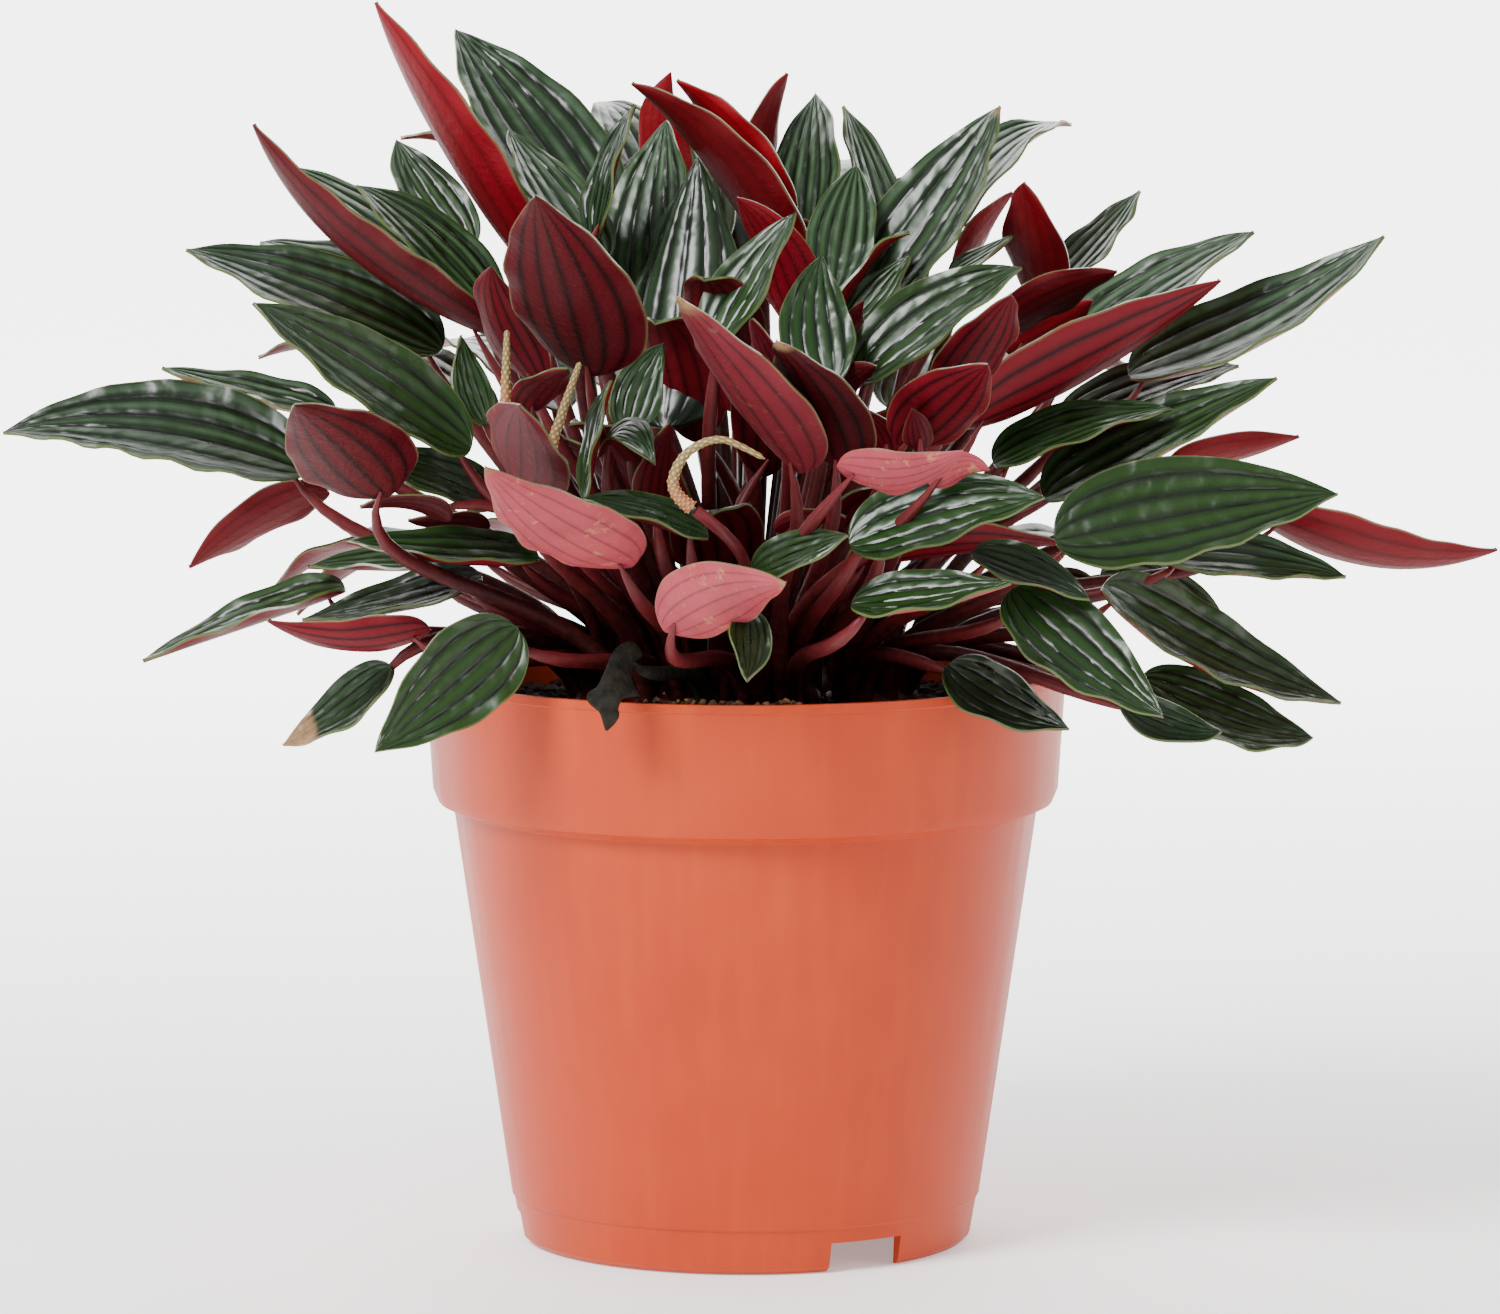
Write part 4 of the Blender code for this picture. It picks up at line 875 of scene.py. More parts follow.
def withered_leaf():
    """The dry leaf, the top of its foot and the foot's lower end."""
    base, mid, tip = (on_ray(*mark) for mark in WITHERED[:3])
    x, y = (v * MM for v in WITHERED[3])
    leaf = Leaf("withered", base, mid, tip, WITHERED_W, WITHERED_CUP, WITHERED_FACING)
    low = Vector((x, y, soil_z(x, y) - STALK_DEEP))
    top = Vector((x, y, soil_z(x, y) + STALK_RISE))
    return leaf, top, low


def peg_path(top, low):
    """The withered leaf's foot, from its lower end to a little over its top."""
    return [low, top + Vector((0, 0, STALK_RISE / 2))]


def standing_solids():
    """What the leaves must clear: the pot, the spikes with their stalks and the withered leaf."""
    fixed = test_walls()
    for spike in SPIKES:
        points, radii = spike_path(spike)
        stem = stalk_path(spike, STALK_PARTS)
        fixed.append((spike[0],) + tube(points, radii, SPIKE_SIDES))
        fixed.append((spike[0],) + tube(stem, [STALK_R] * len(stem), STALK_SIDES))
    leaf, top, low = withered_leaf()
    fixed.append(("withered",) + blade(leaf, BLADE_T)[:2])
    fixed.append(("withered",) + petiole(leaf, top, WITHERED_BOW))
    fixed.append(("withered",) + tube(peg_path(top, low), [PEG_R] * 2, PEG_SIDES))
    return fixed


# Fine shapes

def across_blade():
    """Where a blade is cut across its half-width, and how far up a ridge each place is, from 0 to 1."""
    cuts = {vein + side for vein in VEINS for side in VEIN_SIDES}
    cuts |= {sign * place for sign in (-1, 1) for place in RIDGES + MARGINS}
    ss = np.array(sorted(cuts))
    troughs = (-RIDGE_END,) + VEINS + (RIDGE_END,)
    arch = np.zeros(len(ss))
    for low, high in zip(troughs, troughs[1:]):
        inside = (ss > low) & (ss < high)
        arch[inside] = np.sin(math.pi * (ss[inside] - low) / (high - low)) ** RIDGE_CREST
    return ss, arch


def blade_points(leaf, rng, crumple, us, ss, arch):
    """The points of a rippled blade's top, then those of its underside."""
    phase = np.array([rng.uniform(0, 2 * math.pi) for _ in VEINS + (0,)])[np.searchsorted(VEINS, ss)]
    turn, lean = rng.uniform(0, 2 * math.pi), rng.uniform(*WAVE_SHARES)
    least, most = RIPPLE_LIMITS
    bend = leaf.cup * ss
    top, under = [], []
    for u in us:
        p, _, across, normal = (np.array(v) for v in leaf.frame(float(u)))
        half = leaf.width / 2 * outline(float(u), SHARP_ENDS)
        fade = min(1.0, FADE_IN * u, FADE_OUT * (1 - u)) ** FADE_CURVE
        run = leaf.length * u
        ripple = RIPPLE * (arch - 0.5) * fade * min(most, max(least, half / RIPPLE_FULL))
        ripple += crumple * SWELL * arch * fade * np.sin(2 * math.pi * run / SWELL_STEP + phase)
        wave = crumple * EDGE_WAVE * ss ** 4 * fade * np.sin(
            2 * math.pi * run * lean / EDGE_WAVE_STEP + turn + EDGE_LAG * np.sign(ss))
        centre = (p + np.outer(half * np.sin(bend) / leaf.cup, across)
                  + np.outer(half * (1 - np.cos(bend)) / leaf.cup, normal))
        out = np.outer(np.cos(bend), normal) - np.outer(np.sin(bend), across)
        thick = BLADE_T / 2 * (1 - THIN_MARGIN * ss ** 4)
        top.append(centre + out * (wave + ripple + thick)[:, None])
        under.append(centre + out * (wave + ripple * UNDER_SHARE - thick)[:, None])
    return np.concatenate(top + under)


def blade_faces(nc):
    """A blade's quads, of top, underside and the wall between, and 1 for those of the underside."""
    n = FINE_ROWS * nc
    i, j = np.meshgrid(np.arange(FINE_ROWS - 1), np.arange(nc - 1), indexing="ij")
    a = (i * nc + j).ravel()
    upper = np.stack([a, a + 1, a + nc + 1, a + nc], axis=1)
    lower = np.stack([a + n, a + nc + n, a + nc + 1 + n, a + 1 + n], axis=1)
    rim = rim_of(FINE_ROWS, nc)
    v, w = np.array(rim), np.array(rim[1:] + rim[:1])
    wall = np.stack([w, v, v + n, w + n], axis=1)
    return np.concatenate([upper, lower, wall]), [0] * len(upper) + [1] * len(lower) + [0] * len(wall)


def fine_blade(leaf, rng, crumple=1.0):
    """A rippled blade: points, quads, 1 for quads of the underside, and what its material goes by."""
    us = 0.5 - 0.5 * np.cos(np.linspace(0, math.pi, FINE_ROWS))
    ss, arch = across_blade()
    points = blade_points(leaf, rng, crumple, us, ss, arch)
    faces, sides = blade_faces(len(ss))
    # how much painted sheen on top and painted backlight below a blade gets, by how far back it starts
    sheen = (leaf.base.y - NO_PAINTED_LIGHT_Y) / (FULL_PAINTED_LIGHT_Y - NO_PAINTED_LIGHT_Y)
    pink = (leaf.base.y - RED_Y) / (PINK_Y - RED_Y)
    run = us * leaf.length * 2 * math.pi / PUCKER_STEP
    dry = np.clip((us - DRY_TIPS.get(leaf.name, 2.0)) / DRY_FADE, 0, 1)
    marks = {
        "ridge": np.tile(arch, 2 * FINE_ROWS),
        "edge": np.tile(np.abs(ss), 2 * FINE_ROWS),
        "run": np.tile(np.repeat(run, len(ss)), 2),
        "dry": np.tile(np.repeat(dry, len(ss)), 2),
        "shade": np.full(len(points), rng.random()),
        "sheen": np.full(len(points), min(1.0, max(0.0, sheen))),
        "pink": np.full(len(points), min(1.0, max(0.0, pink))),
    }
    return points, faces, sides, marks


def mesh_piece(name, parts, materials):
    """One piece of many closed parts, each with points, faces, material picks and marks."""
    points, faces, picks, marks, start = [], [], [], {}, 0
    for part_points, part_faces, part_picks, part_marks in parts:
        points.append(np.asarray(part_points, float).reshape(-1, 3))
        faces += (np.asarray(part_faces) + start).tolist()
        picks += list(part_picks)
        for key, values in part_marks.items():
            marks.setdefault(key, []).append(values)
        start += len(points[-1])
    mesh = bpy.data.meshes.new(name)
    mesh.from_pydata(np.concatenate(points).tolist(), [], faces)
    for each in materials:
        mesh.materials.append(each)
    mesh.polygons.foreach_set("material_index", np.array(picks, np.int32))
    for key, values in marks.items():
        layer = mesh.attributes.new(key, "FLOAT", "POINT")
        layer.data.foreach_set("value", np.concatenate(values).astype(np.float32))
    mesh.shade_smooth()
    mesh.set_sharp_from_angle(angle=math.radians(SHARP_ANGLE))
    made = show(name, mesh)
    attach(made, "root")
    return made


def tube_parts(stems):
    """Tubes as parts for mesh_piece, with how far along it each point is and a tint, for the colour."""
    parts = []
    for points, radii, sides, tint in stems:
        verts, faces = tube(points, radii, sides)
        along = np.repeat(np.linspace(0, 1, len(points)), sides)
        marks = {"along": along, "shade": np.full(len(verts), tint)}
        parts.append(([tuple(v) for v in verts], faces, [0] * len(faces), marks))
    return parts


def fine_stem(leaf, root, bow, rng):
    """A leaf stalk's points and radii, how many sides it has and its tint."""
    points = petiole_path(leaf, root, bow, FINE_STEM_PARTS)
    radii = [PETIOLE_ROOT_R + (PETIOLE_TIP_R - PETIOLE_ROOT_R) * (i / FINE_STEM_PARTS) ** STEM_TAPER
             for i in range(FINE_STEM_PARTS + 1)]
    last = len(STEM_END)
    radii[-last:] = [radius * share for radius, share in zip(radii[-last:], STEM_END)]
    return points, radii, FINE_STEM_SIDES, rng.random()


def fine_crown(spot, rng):
    """The same for a crown, which is rounded on top."""
    low = Vector((spot.x, spot.y, soil_z(spot.x, spot.y) - CROWN_DEEP))
    points = [low + Vector((0, 0, (CROWN_DEEP + CROWN_RISE) * k)) for k in CROWN_HEIGHTS]
    return points, [CROWN_R * k for k in CROWN_RADII], FINE_CROWN_SIDES, rng.random()


def beaded_spike(spike):
    """A spike with the small buds that cover it, wound round in rows."""
    points, radii = spike_path(spike)
    fine = smooth_path(points, SPIKE_FINE_ROWS // (len(points) - 1))
    rows = len(fine)
    verts, faces = tube(fine, [1.0] * rows, SPIKE_FINE_SIDES)
    made, bud = [], []
    length = sum((fine[i + 1] - fine[i]).length for i in range(rows - 1))
    for i, p in enumerate(fine):
        share = i / (rows - 1)
        radius = radii[0] + (radii[-1] - radii[0]) * share
        blunt = max(0.0, share - (1 - SPIKE_BLUNT)) / SPIKE_BLUNT
        radius *= max(SPIKE_END, 1 - blunt ** 2)
        for k in range(SPIKE_FINE_SIDES):
            out = verts[i * SPIKE_FINE_SIDES + k] - p
            turn = 2 * math.pi * k / SPIKE_FINE_SIDES
            row = length * share / BEAD_STEP
            bump = max(0.0, math.cos(turn * BEADS + math.pi * round(row)))
            bump *= math.cos(math.pi * (row - round(row)))
            made.append(tuple(p + out * radius * (BEAD_CORE + (BEAD_FOOT - BEAD_FINER * share) * bump)))
            bud.append(bump)
    marks = {"along": np.repeat(np.linspace(0, 1, rows), SPIKE_FINE_SIDES), "ridge": np.array(bud)}
    return made, faces, [0] * len(faces), marks


def crumb(ball, x, y, z, size, flat, rng):
    """A rough little ball."""
    points = ball[0] * size * np.array([rng.uniform(*CRUMB_SHAPES), rng.uniform(*CRUMB_SHAPES), flat])
    points *= 1 + CRUMB_ROUGH * np.array([rng.uniform(-1, 1) for _ in range(len(points))])[:, None]
    return points + np.array([x, y, z]), ball[1], [0] * len(ball[1]), {}


def lumps(count, sizes, reach, rng, flat):
    """Crumbs strewn over the soil."""
    ball, parts = little_ball(), []
    for _ in range(count):
        turn, far = rng.uniform(0, 2 * math.pi), reach * math.sqrt(rng.random())
        x, y = far * math.cos(turn), far * math.sin(turn)
        size = rng.uniform(*sizes)
        parts.append(crumb(ball, x, y, soil_z(x, y) + size * CRUMB_LIFT, size, flat, rng))
    return parts


def heap(rng):
    """Loose crumbs banked up against the rim in front."""
    ball, parts = little_ball(), []
    for _ in range(HEAP_CRUMBS):
        turn, inward = math.radians(rng.uniform(*HEAP_TURNS)), rng.random()
        far = inner_r(POT_H) - HEAP_CLEAR - HEAP_WIDE * inward
        x, y = far * math.cos(turn), far * math.sin(turn)
        low = soil_z(x, y)
        top = low + (POT_H + HEAP_OVER - low) * (1 - inward ** 2)
        size = rng.uniform(*HEAP_SIZES)
        height = low + (top - low) * math.sqrt(rng.random())
        parts.append(crumb(ball, x, y, height, size, HEAP_FLAT, rng))
    return parts


def little_ball():
    """A ball of radius 1 as points and triangles."""
    work = bmesh.new()
    bmesh.ops.create_icosphere(work, subdivisions=1, radius=1.0)
    points = np.array([tuple(v.co) for v in work.verts])
    faces = [[v.index for v in face.verts] for face in work.faces]
    work.free()
    return points, faces


# Materials

def linear(hex_colour):
    """An sRGB colour as Blender's linear one."""
    parts = [int(hex_colour[i:i + 2], 16) / 255 for i in (1, 3, 5)]
    return [c / 12.92 if c <= 0.04045 else ((c + 0.055) / 1.055) ** 2.4 for c in parts] + [1.0]


def connect(tree, node, inputs):
    """Set a node's inputs, by name or in their order, or link those that come from another node."""
    pairs = inputs.items() if isinstance(inputs, dict) else enumerate(inputs)
    for key, value in pairs:
        if isinstance(value, bpy.types.NodeSocket):
            tree.links.new(value, node.inputs[key])
        else:
            node.inputs[key].default_value = value


def add(tree, kind, inputs=(), gives=0, stops=(), **settings):
    """A node with its settings, inputs and colour stops. One of its outputs comes back."""
    made = tree.nodes.new("ShaderNode" + kind)
    for key, value in settings.items():
        setattr(made, key, value)
    connect(tree, made, inputs)
    if stops:
        band = made.color_ramp.elements
        while len(band) < len(stops):
            band.new(0.5)
        for element, (at, colour) in zip(band, stops):
            element.position, element.color = at, linear(colour)
    return made.outputs[gives]


def material(name):
    """An empty material with its node tree, its shader and the place on the object that patterns follow."""
    made = bpy.data.materials.new(name)
    made.use_nodes = True
    tree = made.node_tree
    return made, tree, tree.nodes["Principled BSDF"], add(tree, "TexCoord", gives="Object")


def marks_of(tree, *names):
    """What a mesh says of itself at each point, such as how far up a ridge it is."""
    return [add(tree, "Attribute", gives="Fac", attribute_name=name) for name in names]


def hammered(tree, place):
    """The height of the slanting puckers between a blade's veins, from its midrib to its margin."""
    edge, run, ridge = marks_of(tree, "edge", "run", "ridge")
    slant = add(tree, "Math", (edge, PUCKER_SLANT, run), operation="MULTIPLY_ADD")
    drift = add(tree, "TexNoise", {"Vector": place, "Scale": 1 / PUCKER_DRIFT, **SOFT}, "Fac")
    stray = add(tree, "Math", (drift, PUCKER_STRAY, slant), operation="MULTIPLY_ADD")
    wave = add(tree, "Math", (stray,), operation="SINE")
    swell = add(tree, "MapRange", (wave, -1.0, 1.0, 0.0, 1.0))
    bulge = add(tree, "Math", (swell, ridge), operation="MULTIPLY")
    dimple = add(tree, "TexNoise", {"Vector": place, "Scale": 1 / DIMPLE, **SOFT}, "Fac")
    return add(tree, "Math", (bulge, PUCKER_SHARE, dimple), operation="MULTIPLY_ADD")


def with_dry_tip(tree, place, colour):
    """Tan and brown, as paper, where a blade has dried."""
    dry, = marks_of(tree, "dry")
    mottle = add(tree, "TexNoise", {"Vector": place, "Scale": 1 / DRY_MOTTLE, **GRAINY}, "Fac")
    brown = add(tree, "Mix", {0: mottle, 6: linear("#4A3420"), 7: linear("#A88560")}, 2, **COLOURS)
    return add(tree, "Mix", {0: dry, 6: colour, 7: brown}, 2, **COLOURS)


def toned(tree, colour, share, stops):
    """A tone of its own for each leaf or stalk."""
    shade, = marks_of(tree, "shade")
    tone = add(tree, "ValToRGB", (shade,), stops=stops)
    return add(tree, "Mix", {0: share, 6: colour, 7: tone}, 2, **COLOURS, blend_type="MULTIPLY")


def with_margin(tree, colour, start, full, margin):
    """A thin pale line along a blade's edge."""
    edge, = marks_of(tree, "edge")
    share = add(tree, "MapRange", (edge, start, full, 0.0, MARGIN_SHARE))
    return add(tree, "Mix", {0: share, 6: colour, 7: linear(margin)}, 2, **COLOURS)


def waxy_leaf_top():
    """Dark green leaf wax, near black in the sunk veins, with a thin pale margin. Painted sheen: silver
    along the ridge crests, more of it on blades further back. Soft, broken glints run along the ridges."""
    made, tree, shader, place = material("waxy_leaf_top")
    ridge, sheen = marks_of(tree, "ridge", "sheen")
    green = add(tree, "ValToRGB", (ridge,), stops=(
        (0.0, "#070F07"), (0.5, "#0F200B"), (0.85, "#162E0E"), (1.0, "#1D3B13")))
    cloud = add(tree, "TexNoise", {"Vector": place, "Scale": 1 / SHEEN_PATCH, **MEDIUM}, "Fac")
    patch = add(tree, "MapRange", (cloud, 0.35, 0.65, 0.25, 1.0))
    # painted sheen: silver on the ridge crests, in patches, more of it on blades further back
    crest = add(tree, "MapRange", (ridge, 0.88, 1.0, 0.0, 1.0))
    share = add(tree, "MapRange", (sheen, 0.3, 1.0, 0.0, 0.42))
    patchy = add(tree, "Math", (crest, patch), operation="MULTIPLY")
    painted_silver_sheen = add(tree, "Math", (patchy, share), operation="MULTIPLY")
    colour = add(tree, "Mix", {0: painted_silver_sheen, 6: green, 7: linear("#8FA394")}, 2, **COLOURS)
    colour = toned(tree, colour, 0.8, (
        (0.0, "#6B7F6A"), (0.4, "#C9D8BE"), (0.75, "#FFFFFF"), (1.0, "#E6D59C")))
    colour = with_margin(tree, colour, 0.965, 1.0, "#5E6B3A")
    relief = add(tree, "Bump", {"Height": hammered(tree, place), "Distance": 0.0003, "Strength": 0.4})
    connect(tree, shader, {
        "Base Color": with_dry_tip(tree, place, colour),
        "Roughness": add(tree, "MapRange", (patch, 0.0, 1.0, 0.4, 0.26)),
        "Specular IOR Level": 0.36,
        "Coat Weight": 0.06,
        "Coat Roughness": 0.2,
        "Normal": relief,
    })
    return made


def matt_leaf_underside():
    """Matt crimson leaf skin, darker along the veins and brighter on leaves lit from behind. On those
    in front it is a dusty pink with tan scars."""
    made, tree, shader, place = material("matt_leaf_underside")
    ridge, sheen, pink = marks_of(tree, "ridge", "sheen", "pink")
    red = add(tree, "ValToRGB", (ridge,), stops=(
        (0.0, "#1E0107"), (0.6, "#48040F"), (0.8, "#5E0717"), (1.0, "#6A0A1B")))
    # painted backlight: brighter red on blades further back, as if lit through from behind
    lit = add(tree, "MapRange", (sheen, 0.5, 1.0, 0.0, 0.55))
    red = add(tree, "Mix", {0: lit, 6: red, 7: linear("#960D1A")}, 2, **COLOURS)
    cloud = add(tree, "TexNoise", {"Vector": place, "Scale": 1 / PINK_PATCH, **GRAINY}, "Fac")
    patch = add(tree, "MapRange", (cloud, 0.3, 0.6, 0.7, 1.0))
    patch = add(tree, "Math", (pink, patch), operation="MULTIPLY")
    vein = add(tree, "MapRange", (ridge, 0.0, 0.7, 0.45, 0.75))
    dusty = add(tree, "Math", (patch, vein), operation="MULTIPLY")
    colour = add(tree, "Mix", {0: dusty, 6: red, 7: linear("#AC4E5A")}, 2, **COLOURS)
    speck = add(tree, "TexNoise", {"Vector": place, "Scale": 1 / SCAR, **RAGGED}, "Fac")
    scar = add(tree, "MapRange", (speck, 0.6, 0.66, 0.0, 0.7))
    scar = add(tree, "Math", (pink, scar), operation="MULTIPLY")
    colour = add(tree, "Mix", {0: scar, 6: colour, 7: linear("#A87C58")}, 2, **COLOURS)
    colour = toned(tree, colour, 0.8, ((0.0, "#7A5A60"), (0.5, "#D8C8C8"), (1.0, "#FFF0E8")))
    colour = with_margin(tree, colour, 0.955, 0.99, "#7C6A4A")
    grain = add(tree, "TexNoise", {"Vector": place, "Scale": 1 / UNDER_GRAIN, **MEDIUM}, "Fac")
    connect(tree, shader, {
        "Base Color": with_dry_tip(tree, place, colour),
        "Roughness": 0.5,
        "Specular IOR Level": 0.16,
        "Normal": add(tree, "Bump", {"Height": grain, "Distance": 0.0003, "Strength": 0.6}),
    })
    return made


def fleshy_stalk():
    """Burgundy stalk flesh under a thin skin, some stalks browner. Painted shade darkens it to near black
    towards the root, where the stalks crowd in the middle. Small flecks break up its low shine."""
    made, tree, shader, place = material("fleshy_stalk")
    along, = marks_of(tree, "along")
    # painted shade: near black at the root, where the stalks crowd, to burgundy towards the blade
    red = add(tree, "ValToRGB", (along,), stops=((0.0, "#140406"), (0.45, "#2E080E"), (1.0, "#5E1820")))
    colour = toned(tree, red, 0.7, ((0.0, "#C8A48A"), (0.5, "#FFFFFF"), (1.0, "#E8B7A6")))
    fleck = add(tree, "TexNoise", {"Vector": place, "Scale": 1 / STALK_FLECK, **GRAINY}, "Fac")
    fleck = add(tree, "MapRange", (fleck, 0.35, 0.75, 0.0, 0.3))
    colour = add(tree, "Mix", {0: fleck, 6: colour, 7: linear("#75281F")}, 2, **COLOURS)
    grain = add(tree, "TexNoise", {"Vector": place, "Scale": 1 / STALK_GRAIN, **GRAINY}, "Fac")
    connect(tree, shader, {
        "Base Color": colour,
        "Roughness": 0.42,
        "Specular IOR Level": 0.25,
        "Normal": add(tree, "Bump", {"Height": grain, "Distance": 0.0001, "Strength": 0.6}),
    })
    return made


def dull_spike_buds():
    """Dull khaki flower buds, tan between them and rusty at the foot."""
    made, tree, shader, _ = material("dull_spike_buds")
    ridge, along = marks_of(tree, "ridge", "along")
    cream = add(tree, "ValToRGB", (ridge,), stops=((0.0, "#6E5A34"), (0.6, "#A9935E"), (1.0, "#C6B27C")))
    foot = add(tree, "MapRange", (along, 0.5, 0.05, 0.0, 0.6))
    colour = add(tree, "Mix", {0: foot, 6: cream, 7: linear("#A8562C")}, 2, **COLOURS)
    connect(tree, shader, {"Base Color": colour, "Roughness": 0.6})
    return made


def rough_matter(name, dark, light, grain, roughness, relief):
    """Rough matt matter in two tones, with grains of so many metres, such as peat or a dry leaf."""
    made, tree, shader, place = material(name)
    cloud = add(tree, "TexNoise", {"Vector": place, "Scale": 1 / grain, **GRAINY}, "Fac")
    patch = add(tree, "MapRange", (cloud, 0.3, 0.7, 0.0, 1.0))
    pits = add(tree, "TexNoise", {"Vector": place, "Scale": 3 / grain, **GRAINY}, "Fac")
    connect(tree, shader, {
        "Base Color": add(tree, "Mix", {0: patch, 6: linear(dark), 7: linear(light)}, 2, **COLOURS),
        "Roughness": roughness,
        "Specular IOR Level": 0.12,
        "Normal": add(tree, "Bump", {"Height": pits, "Distance": relief, "Strength": 0.6}),
    })
    return made


def moulded_polypropylene():
    """Satin terracotta polypropylene, with faint upright streaks left by the mould and cloudy patches."""
    made, tree, shader, place = material("moulded_polypropylene")
    tall = add(tree, "Mapping", {"Vector": place, "Scale": (1.0, 1.0, STREAK_SQUEEZE)})
    streak = add(tree, "TexNoise", {"Vector": tall, "Scale": 1 / STREAK, "Detail": 5.0}, "Fac")
    cloud = add(tree, "TexNoise", {"Vector": place, "Scale": 1 / POT_CLOUD, **GRAINY}, "Fac")
    cloud = add(tree, "MapRange", (cloud, 0.3, 0.7, 0.0, 1.0))
    colour = add(tree, "Mix", {0: cloud, 6: linear("#A63414"), 7: linear("#B03C19")}, 2, **COLOURS)
    pale = add(tree, "MapRange", (streak, 0.45, 0.8, 0.0, 0.22))
    connect(tree, shader, {
        "Base Color": add(tree, "Mix", {0: pale, 6: colour, 7: linear("#C45226")}, 2, **COLOURS),
        "Roughness": add(tree, "MapRange", (streak, 0.3, 0.7, 0.36, 0.48)),
        "Specular IOR Level": 0.2,
        "Normal": add(tree, "Bump", {"Height": streak, "Distance": 0.00008, "Strength": 0.4}),
    })
    return made


def painted_sweep():
    """White matt paint that glows more and more towards the back, as a wall lit from behind does."""
    made, tree, shader, place = material("painted_sweep")
    far = add(tree, "SeparateXYZ", (place,), "Y")
    connect(tree, shader, {
        "Base Color": linear("#F6F5F3"),
        "Roughness": 0.8,
        "Emission Color": linear("#FFFFFF"),
        "Emission Strength": add(tree, "MapRange", (far, GLOW_FROM, GLOW_TO) + FLOOR_GLOW),
    })
    return made


# Putting the pieces on the part

def add_shoots(groups, members, top, under, stalk):
    rng = random.Random(SEED)
    spots = crowns()
    for count, group in enumerate(sorted(groups)):
        node = "shoot_%02d" % (count + 1)
        blades, stems = [], [fine_crown(spots[k], rng) for k in members[group]]
        for leaf, root, bow in groups[group]:
            blades.append(fine_blade(leaf, rng))
            stems.append(fine_stem(leaf, root, bow, rng))
        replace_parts(mesh_piece(node + "_stalks", tube_parts(stems), [stalk]), node)
        if blades:
            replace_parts(mesh_piece(node + "_leaves", blades, [top, under]), node)


def add_spikes(buds, stalk):
    for spike in SPIKES:
        node = spike[0]
        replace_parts(mesh_piece(node + "_buds", [beaded_spike(spike)], [buds]), node)
        points = stalk_path(spike, FINE_STALK_PARTS)
        stems = [(points, [STALK_R] * len(points), FINE_STALK_SIDES, PLAIN_TINT)]
        name = node.replace("spike", "stalk")
        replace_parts(mesh_piece(name + "_skin", tube_parts(stems), [stalk]), name)


def add_withered(dry):
    rng = random.Random(SEED)
    leaf, top, low = withered_leaf()
    points, faces = fine_blade(leaf, rng, WITHERED_CRUMPLE)[:2]
    blades = [(points, faces, [0] * len(faces), {})]
    stem = fine_stem(leaf, top, WITHERED_BOW, rng)
    peg = (peg_path(top, low), [PEG_R] * 2, FINE_STALK_SIDES, PLAIN_TINT)
    stems = [(verts, tris, picks, {}) for verts, tris, picks, _ in tube_parts([stem, peg])]
    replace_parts(mesh_piece("withered_leaf_skin", blades + stems, [dry]), "withered_leaf")


def add_soil(peat, sandy, perlite):
    rng = random.Random(SEED)
    frame["nodes"]["soil"].data.materials.clear()
    frame["nodes"]["soil"].data.materials.append(peat)
    reach = inner_r(SOIL_EDGE_Z) - SOIL_CLEAR
    mesh_piece("soil_crumbs", lumps(CRUMBS, CRUMB_SIZES, reach, rng, CRUMB_FLAT), [peat])
    mesh_piece("rim_crumbs", heap(rng), [sandy])
    mesh_piece("perlite", lumps(PERLITE, PERLITE_SIZES, reach, rng, PERLITE_FLAT), [perlite])


def add_pot(plastic):
    solid = cut_pot()
    solid.materials.append(plastic)
    solid.shade_smooth()
    solid.set_sharp_from_angle(angle=math.radians(POT_SHARP_ANGLE))
    made = show("pot_body", solid)
    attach(made, "root")
    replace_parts(made, "pot")


# The studio

def add_light(name, place, size, power, colour):
    lamp = bpy.data.lights.new(name, "AREA")
    lamp.shape, lamp.size = "SQUARE", size
    lamp.energy, lamp.color = power, linear(colour)[:3]
    made = show(name, lamp)
    made.location = place
    made.rotation_euler = (LIT_AT - Vector(place)).to_track_quat("-Z", "Y").to_euler()


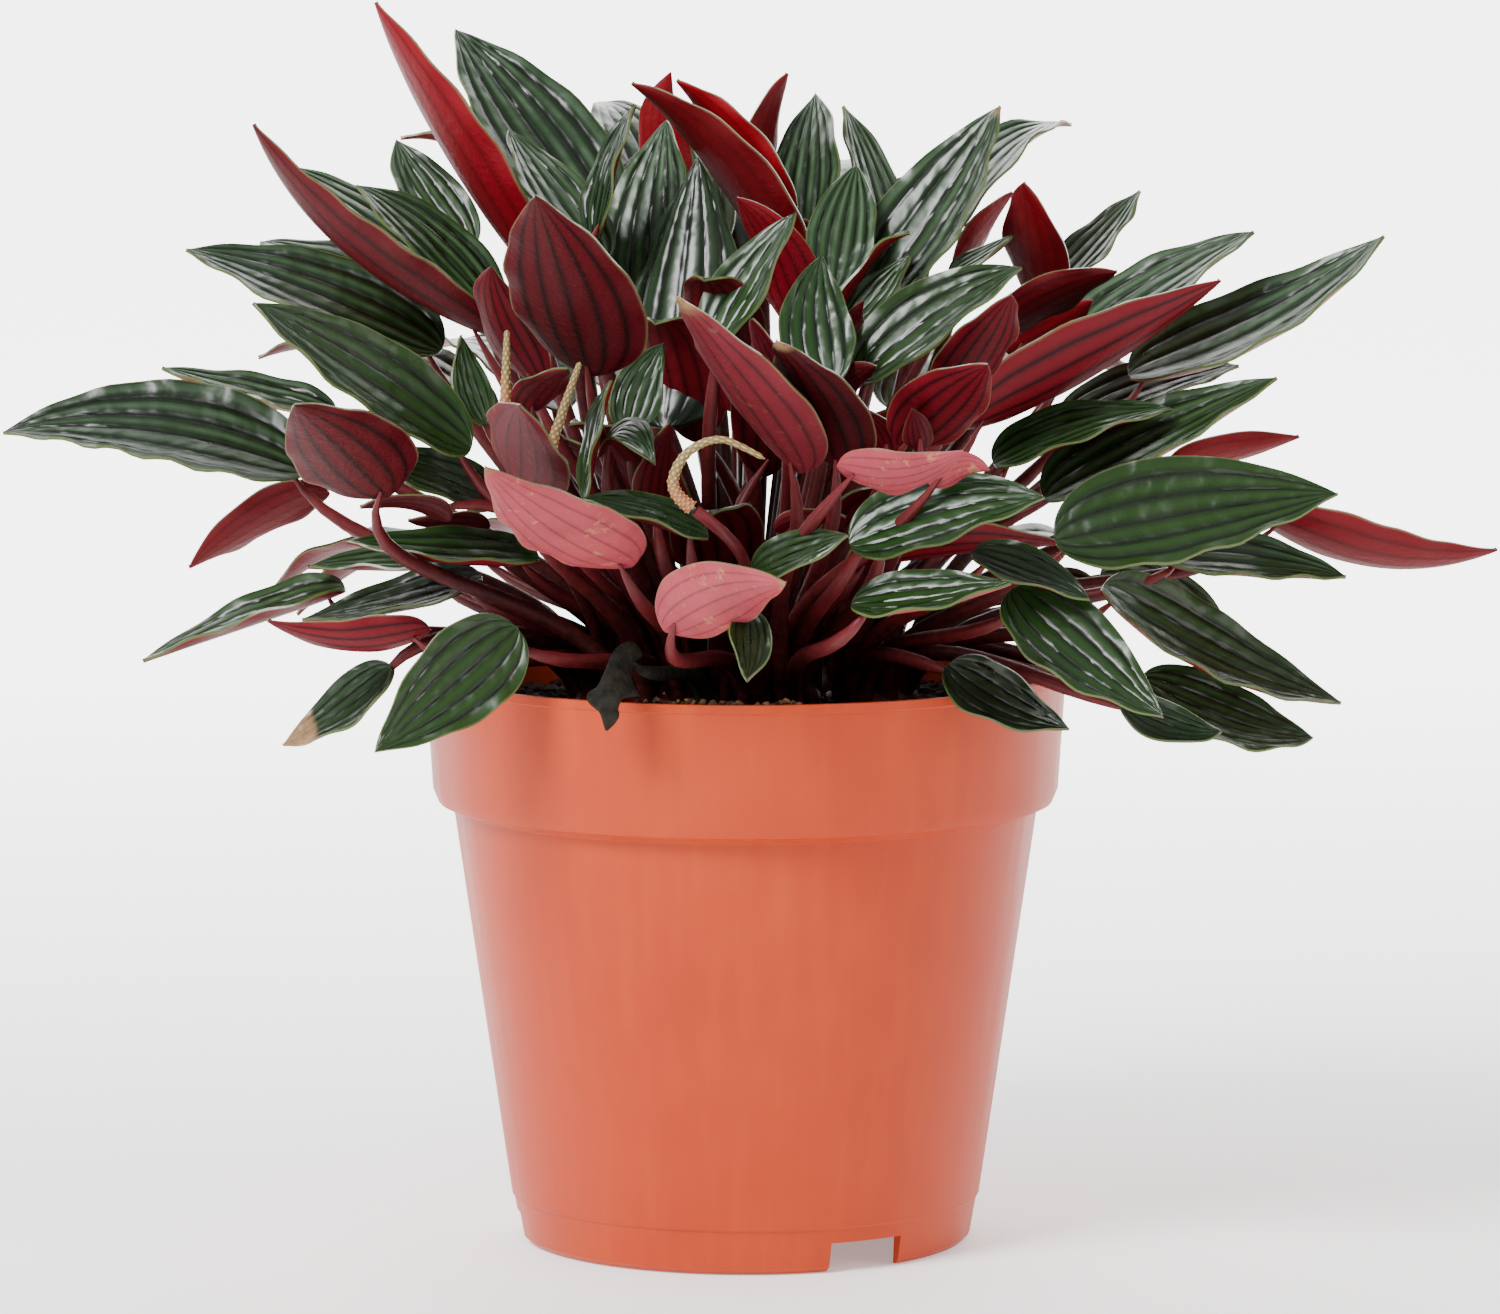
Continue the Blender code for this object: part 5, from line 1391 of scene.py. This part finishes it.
def add_sweep():
    """A white floor that curves up into a bright wall behind, so that no edge shows."""
    line = [(-SWEEP_HALF, 0.0), (SWEEP_TURN_Y, 0.0)]
    for degrees in range(SWEEP_STEP, 91, SWEEP_STEP):
        turn = math.radians(degrees)
        line.append((SWEEP_TURN_Y + SWEEP_R * math.sin(turn), SWEEP_R * (1 - math.cos(turn))))
    line.append((SWEEP_TURN_Y + SWEEP_R, SWEEP_TOP))
    verts = [(x, y, z - FLOOR_DROP) for y, z in line for x in (-SWEEP_HALF, SWEEP_HALF)]
    quads = [(2 * k, 2 * k + 1, 2 * k + 3, 2 * k + 2) for k in range(len(line) - 1)]
    mesh = bpy.data.meshes.new("floor")
    mesh.from_pydata(verts, [], quads)
    mesh.shade_smooth()
    mesh.materials.append(painted_sweep())
    show("floor", mesh)


def add_studio():
    """The white sweep, two soft lights and light from all round."""
    add_sweep()
    world = bpy.data.worlds.new("room")
    world.use_nodes = True
    background = world.node_tree.nodes["Background"]
    connect(world.node_tree, background, {"Color": linear("#FFFFFF"), "Strength": ROOM_LIGHT})
    bpy.context.scene.world = world
    add_light("key_light", KEY_AT, KEY_SIZE, KEY_WATTS, "#FFFFFF")
    add_light("fill_light", FILL_AT, FILL_SIZE, FILL_WATTS, "#FFF6EE")


def add_camera():
    lens = bpy.data.cameras.new("photo_camera")
    lens.sensor_width = SENSOR_MM
    lens.lens = FOCAL_PX / IMAGE_W * SENSOR_MM
    made = show("photo_camera", lens)
    made.location = CAMERA
    made.rotation_euler = (TARGET - CAMERA).to_track_quat("-Z", "Y").to_euler()
    bpy.context.scene.camera = made


def main():
    stalk = fleshy_stalk()
    groups, members = place_leaves(standing_solids())
    add_shoots(groups, members, waxy_leaf_top(), matt_leaf_underside(), stalk)
    add_spikes(dull_spike_buds(), stalk)
    add_withered(rough_matter("withered_leaf_skin", "#0B0B09", "#26231B", 0.002, 0.7, 0.0006))
    add_soil(rough_matter("fibrous_peat", "#0E0808", "#2E2019", 0.0012, 0.9, 0.0006),
             rough_matter("dried_peat", "#2B1A12", "#8A6648", 0.001, 0.9, 0.0004),
             rough_matter("expanded_perlite", "#B9B4AE", "#E6E2DC", 0.0008, 0.85, 0.0003))
    add_pot(moulded_polypropylene())
    add_studio()
    add_camera()


main()
